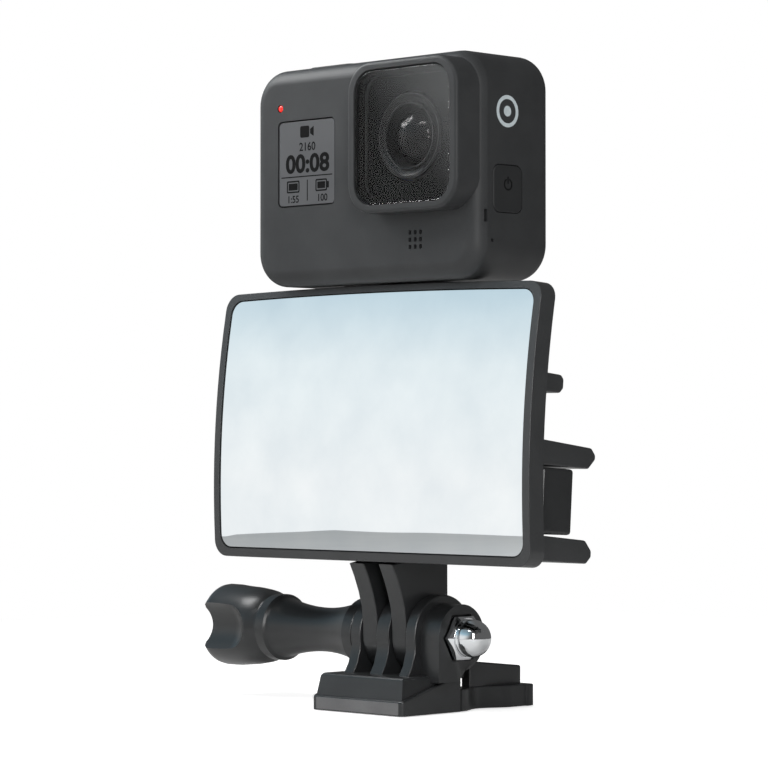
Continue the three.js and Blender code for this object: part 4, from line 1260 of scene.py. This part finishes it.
def makeSky():
    # plain white behind the object; its glossy faces show a wide glow on the lens's left, over dim grey
    world = bpy.data.worlds.new("studioSky")
    bpy.context.scene.world = world
    world.use_nodes = True
    tree = world.node_tree
    tree.nodes.clear()
    where = addNode(tree, "ShaderNodeTexCoord").outputs["Generated"]
    parts = addNode(tree, "ShaderNodeSeparateXYZ", links={0: where})
    sky = addNode(tree, "ShaderNodeValToRGB", links={"Fac": parts.outputs["Z"]})
    for element, (place, colour) in zip(sky.color_ramp.elements, studio["sky"][:2]):
        element.position = place
        element.color = linear(colour)
    for place, colour in studio["sky"][2:]:
        sky.color_ramp.elements.new(place).color = linear(colour)
    a, e = (math.radians(angle) for angle in studio["glow"])
    way = (math.sin(a) * math.cos(e), -math.cos(a) * math.cos(e), math.sin(e))
    near = addNode(tree, "ShaderNodeVectorMath", {1: way}, {0: where}, operation="DOT_PRODUCT")
    share = addNode(
        tree, "ShaderNodeMapRange", {"From Min": studio["glowEdge"][0], "From Max": studio["glowEdge"][1]},
        {"Value": near.outputs["Value"]}, interpolation_type="SMOOTHSTEP")
    dim = addNode(tree, "ShaderNodeBackground", {"Strength": studio["dimStrength"], "Color": (1, 1, 1, 1)})
    glow = addNode(
        tree, "ShaderNodeBackground", {"Strength": studio["glowStrength"]}, {"Color": sky.outputs["Color"]})
    shown = addNode(tree, "ShaderNodeMixShader",
                    links={0: share.outputs["Result"], 1: dim.outputs[0], 2: glow.outputs[0]})
    room = addNode(tree, "ShaderNodeBackground", {"Strength": studio["roomStrength"], "Color": (1, 1, 1, 1)})
    plain = addNode(tree, "ShaderNodeBackground", {"Strength": 1.0, "Color": (1, 1, 1, 1)})
    ray = addNode(tree, "ShaderNodeLightPath")
    around = addNode(tree, "ShaderNodeMixShader",
                     links={0: ray.outputs["Is Glossy Ray"], 1: room.outputs[0], 2: shown.outputs[0]})
    mixed = addNode(tree, "ShaderNodeMixShader",
                    links={0: ray.outputs["Is Camera Ray"], 1: around.outputs[0], 2: plain.outputs[0]})
    addNode(tree, "ShaderNodeOutputWorld", links={"Surface": mixed.outputs[0]})


lamps = {
    "keyBox": {"azimuth": -58, "elevation": 40, "distance": 165, "aimZ": 114,
        "size": (90, 90), "power": 0.29},
    "frontBox": {"azimuth": 22, "elevation": 46, "distance": 420, "aimZ": 110,
        "size": (150, 90), "power": 0.5},
    "cornerStrip": {"azimuth": 50, "elevation": 12, "distance": 480, "aimZ": 80,
        "size": (36, 260), "power": 0.9},
}


def addLamp(name, azimuth, elevation, distance, aimZ, size, power):
    # azimuth 0 is in front of the lens and 90 on its right-hand side
    a, e = math.radians(azimuth), math.radians(elevation)
    way = Vector((math.sin(a) * math.cos(e), -math.cos(a) * math.cos(e), math.sin(e)))
    place = Vector((0, 0, aimZ)) + way * distance
    bpy.ops.object.light_add(type="AREA", location=place * mm)
    lamp = bpy.context.object
    lamp.name = name
    lamp.rotation_euler = way.to_track_quat("Z", "Y").to_euler()
    lamp.data.shape = "RECTANGLE"
    lamp.data.size = size[0] * mm
    lamp.data.size_y = size[1] * mm
    lamp.data.energy = power


def makeCamera():
    a = math.radians(studio["azimuth"])
    back = Vector((math.sin(a), -math.cos(a), 0)) * studio["distance"]
    place = Vector((studio["aim"][0], studio["aim"][1], 0)) + back
    place.z = studio["height"]
    bpy.ops.object.camera_add(
        location=place * mm, rotation=(math.radians(90 + studio["pitch"]), 0, a))
    camera = bpy.context.object
    camera.data.lens = studio["lens"]
    camera.data.sensor_width = studio["sensor"]
    bpy.context.scene.camera = camera


makeFloor()
makeSky()
for name, lamp in lamps.items():
    addLamp(name, **lamp)
makeCamera()
bpy.context.scene.view_settings.view_transform = "Standard"
print("stage set")
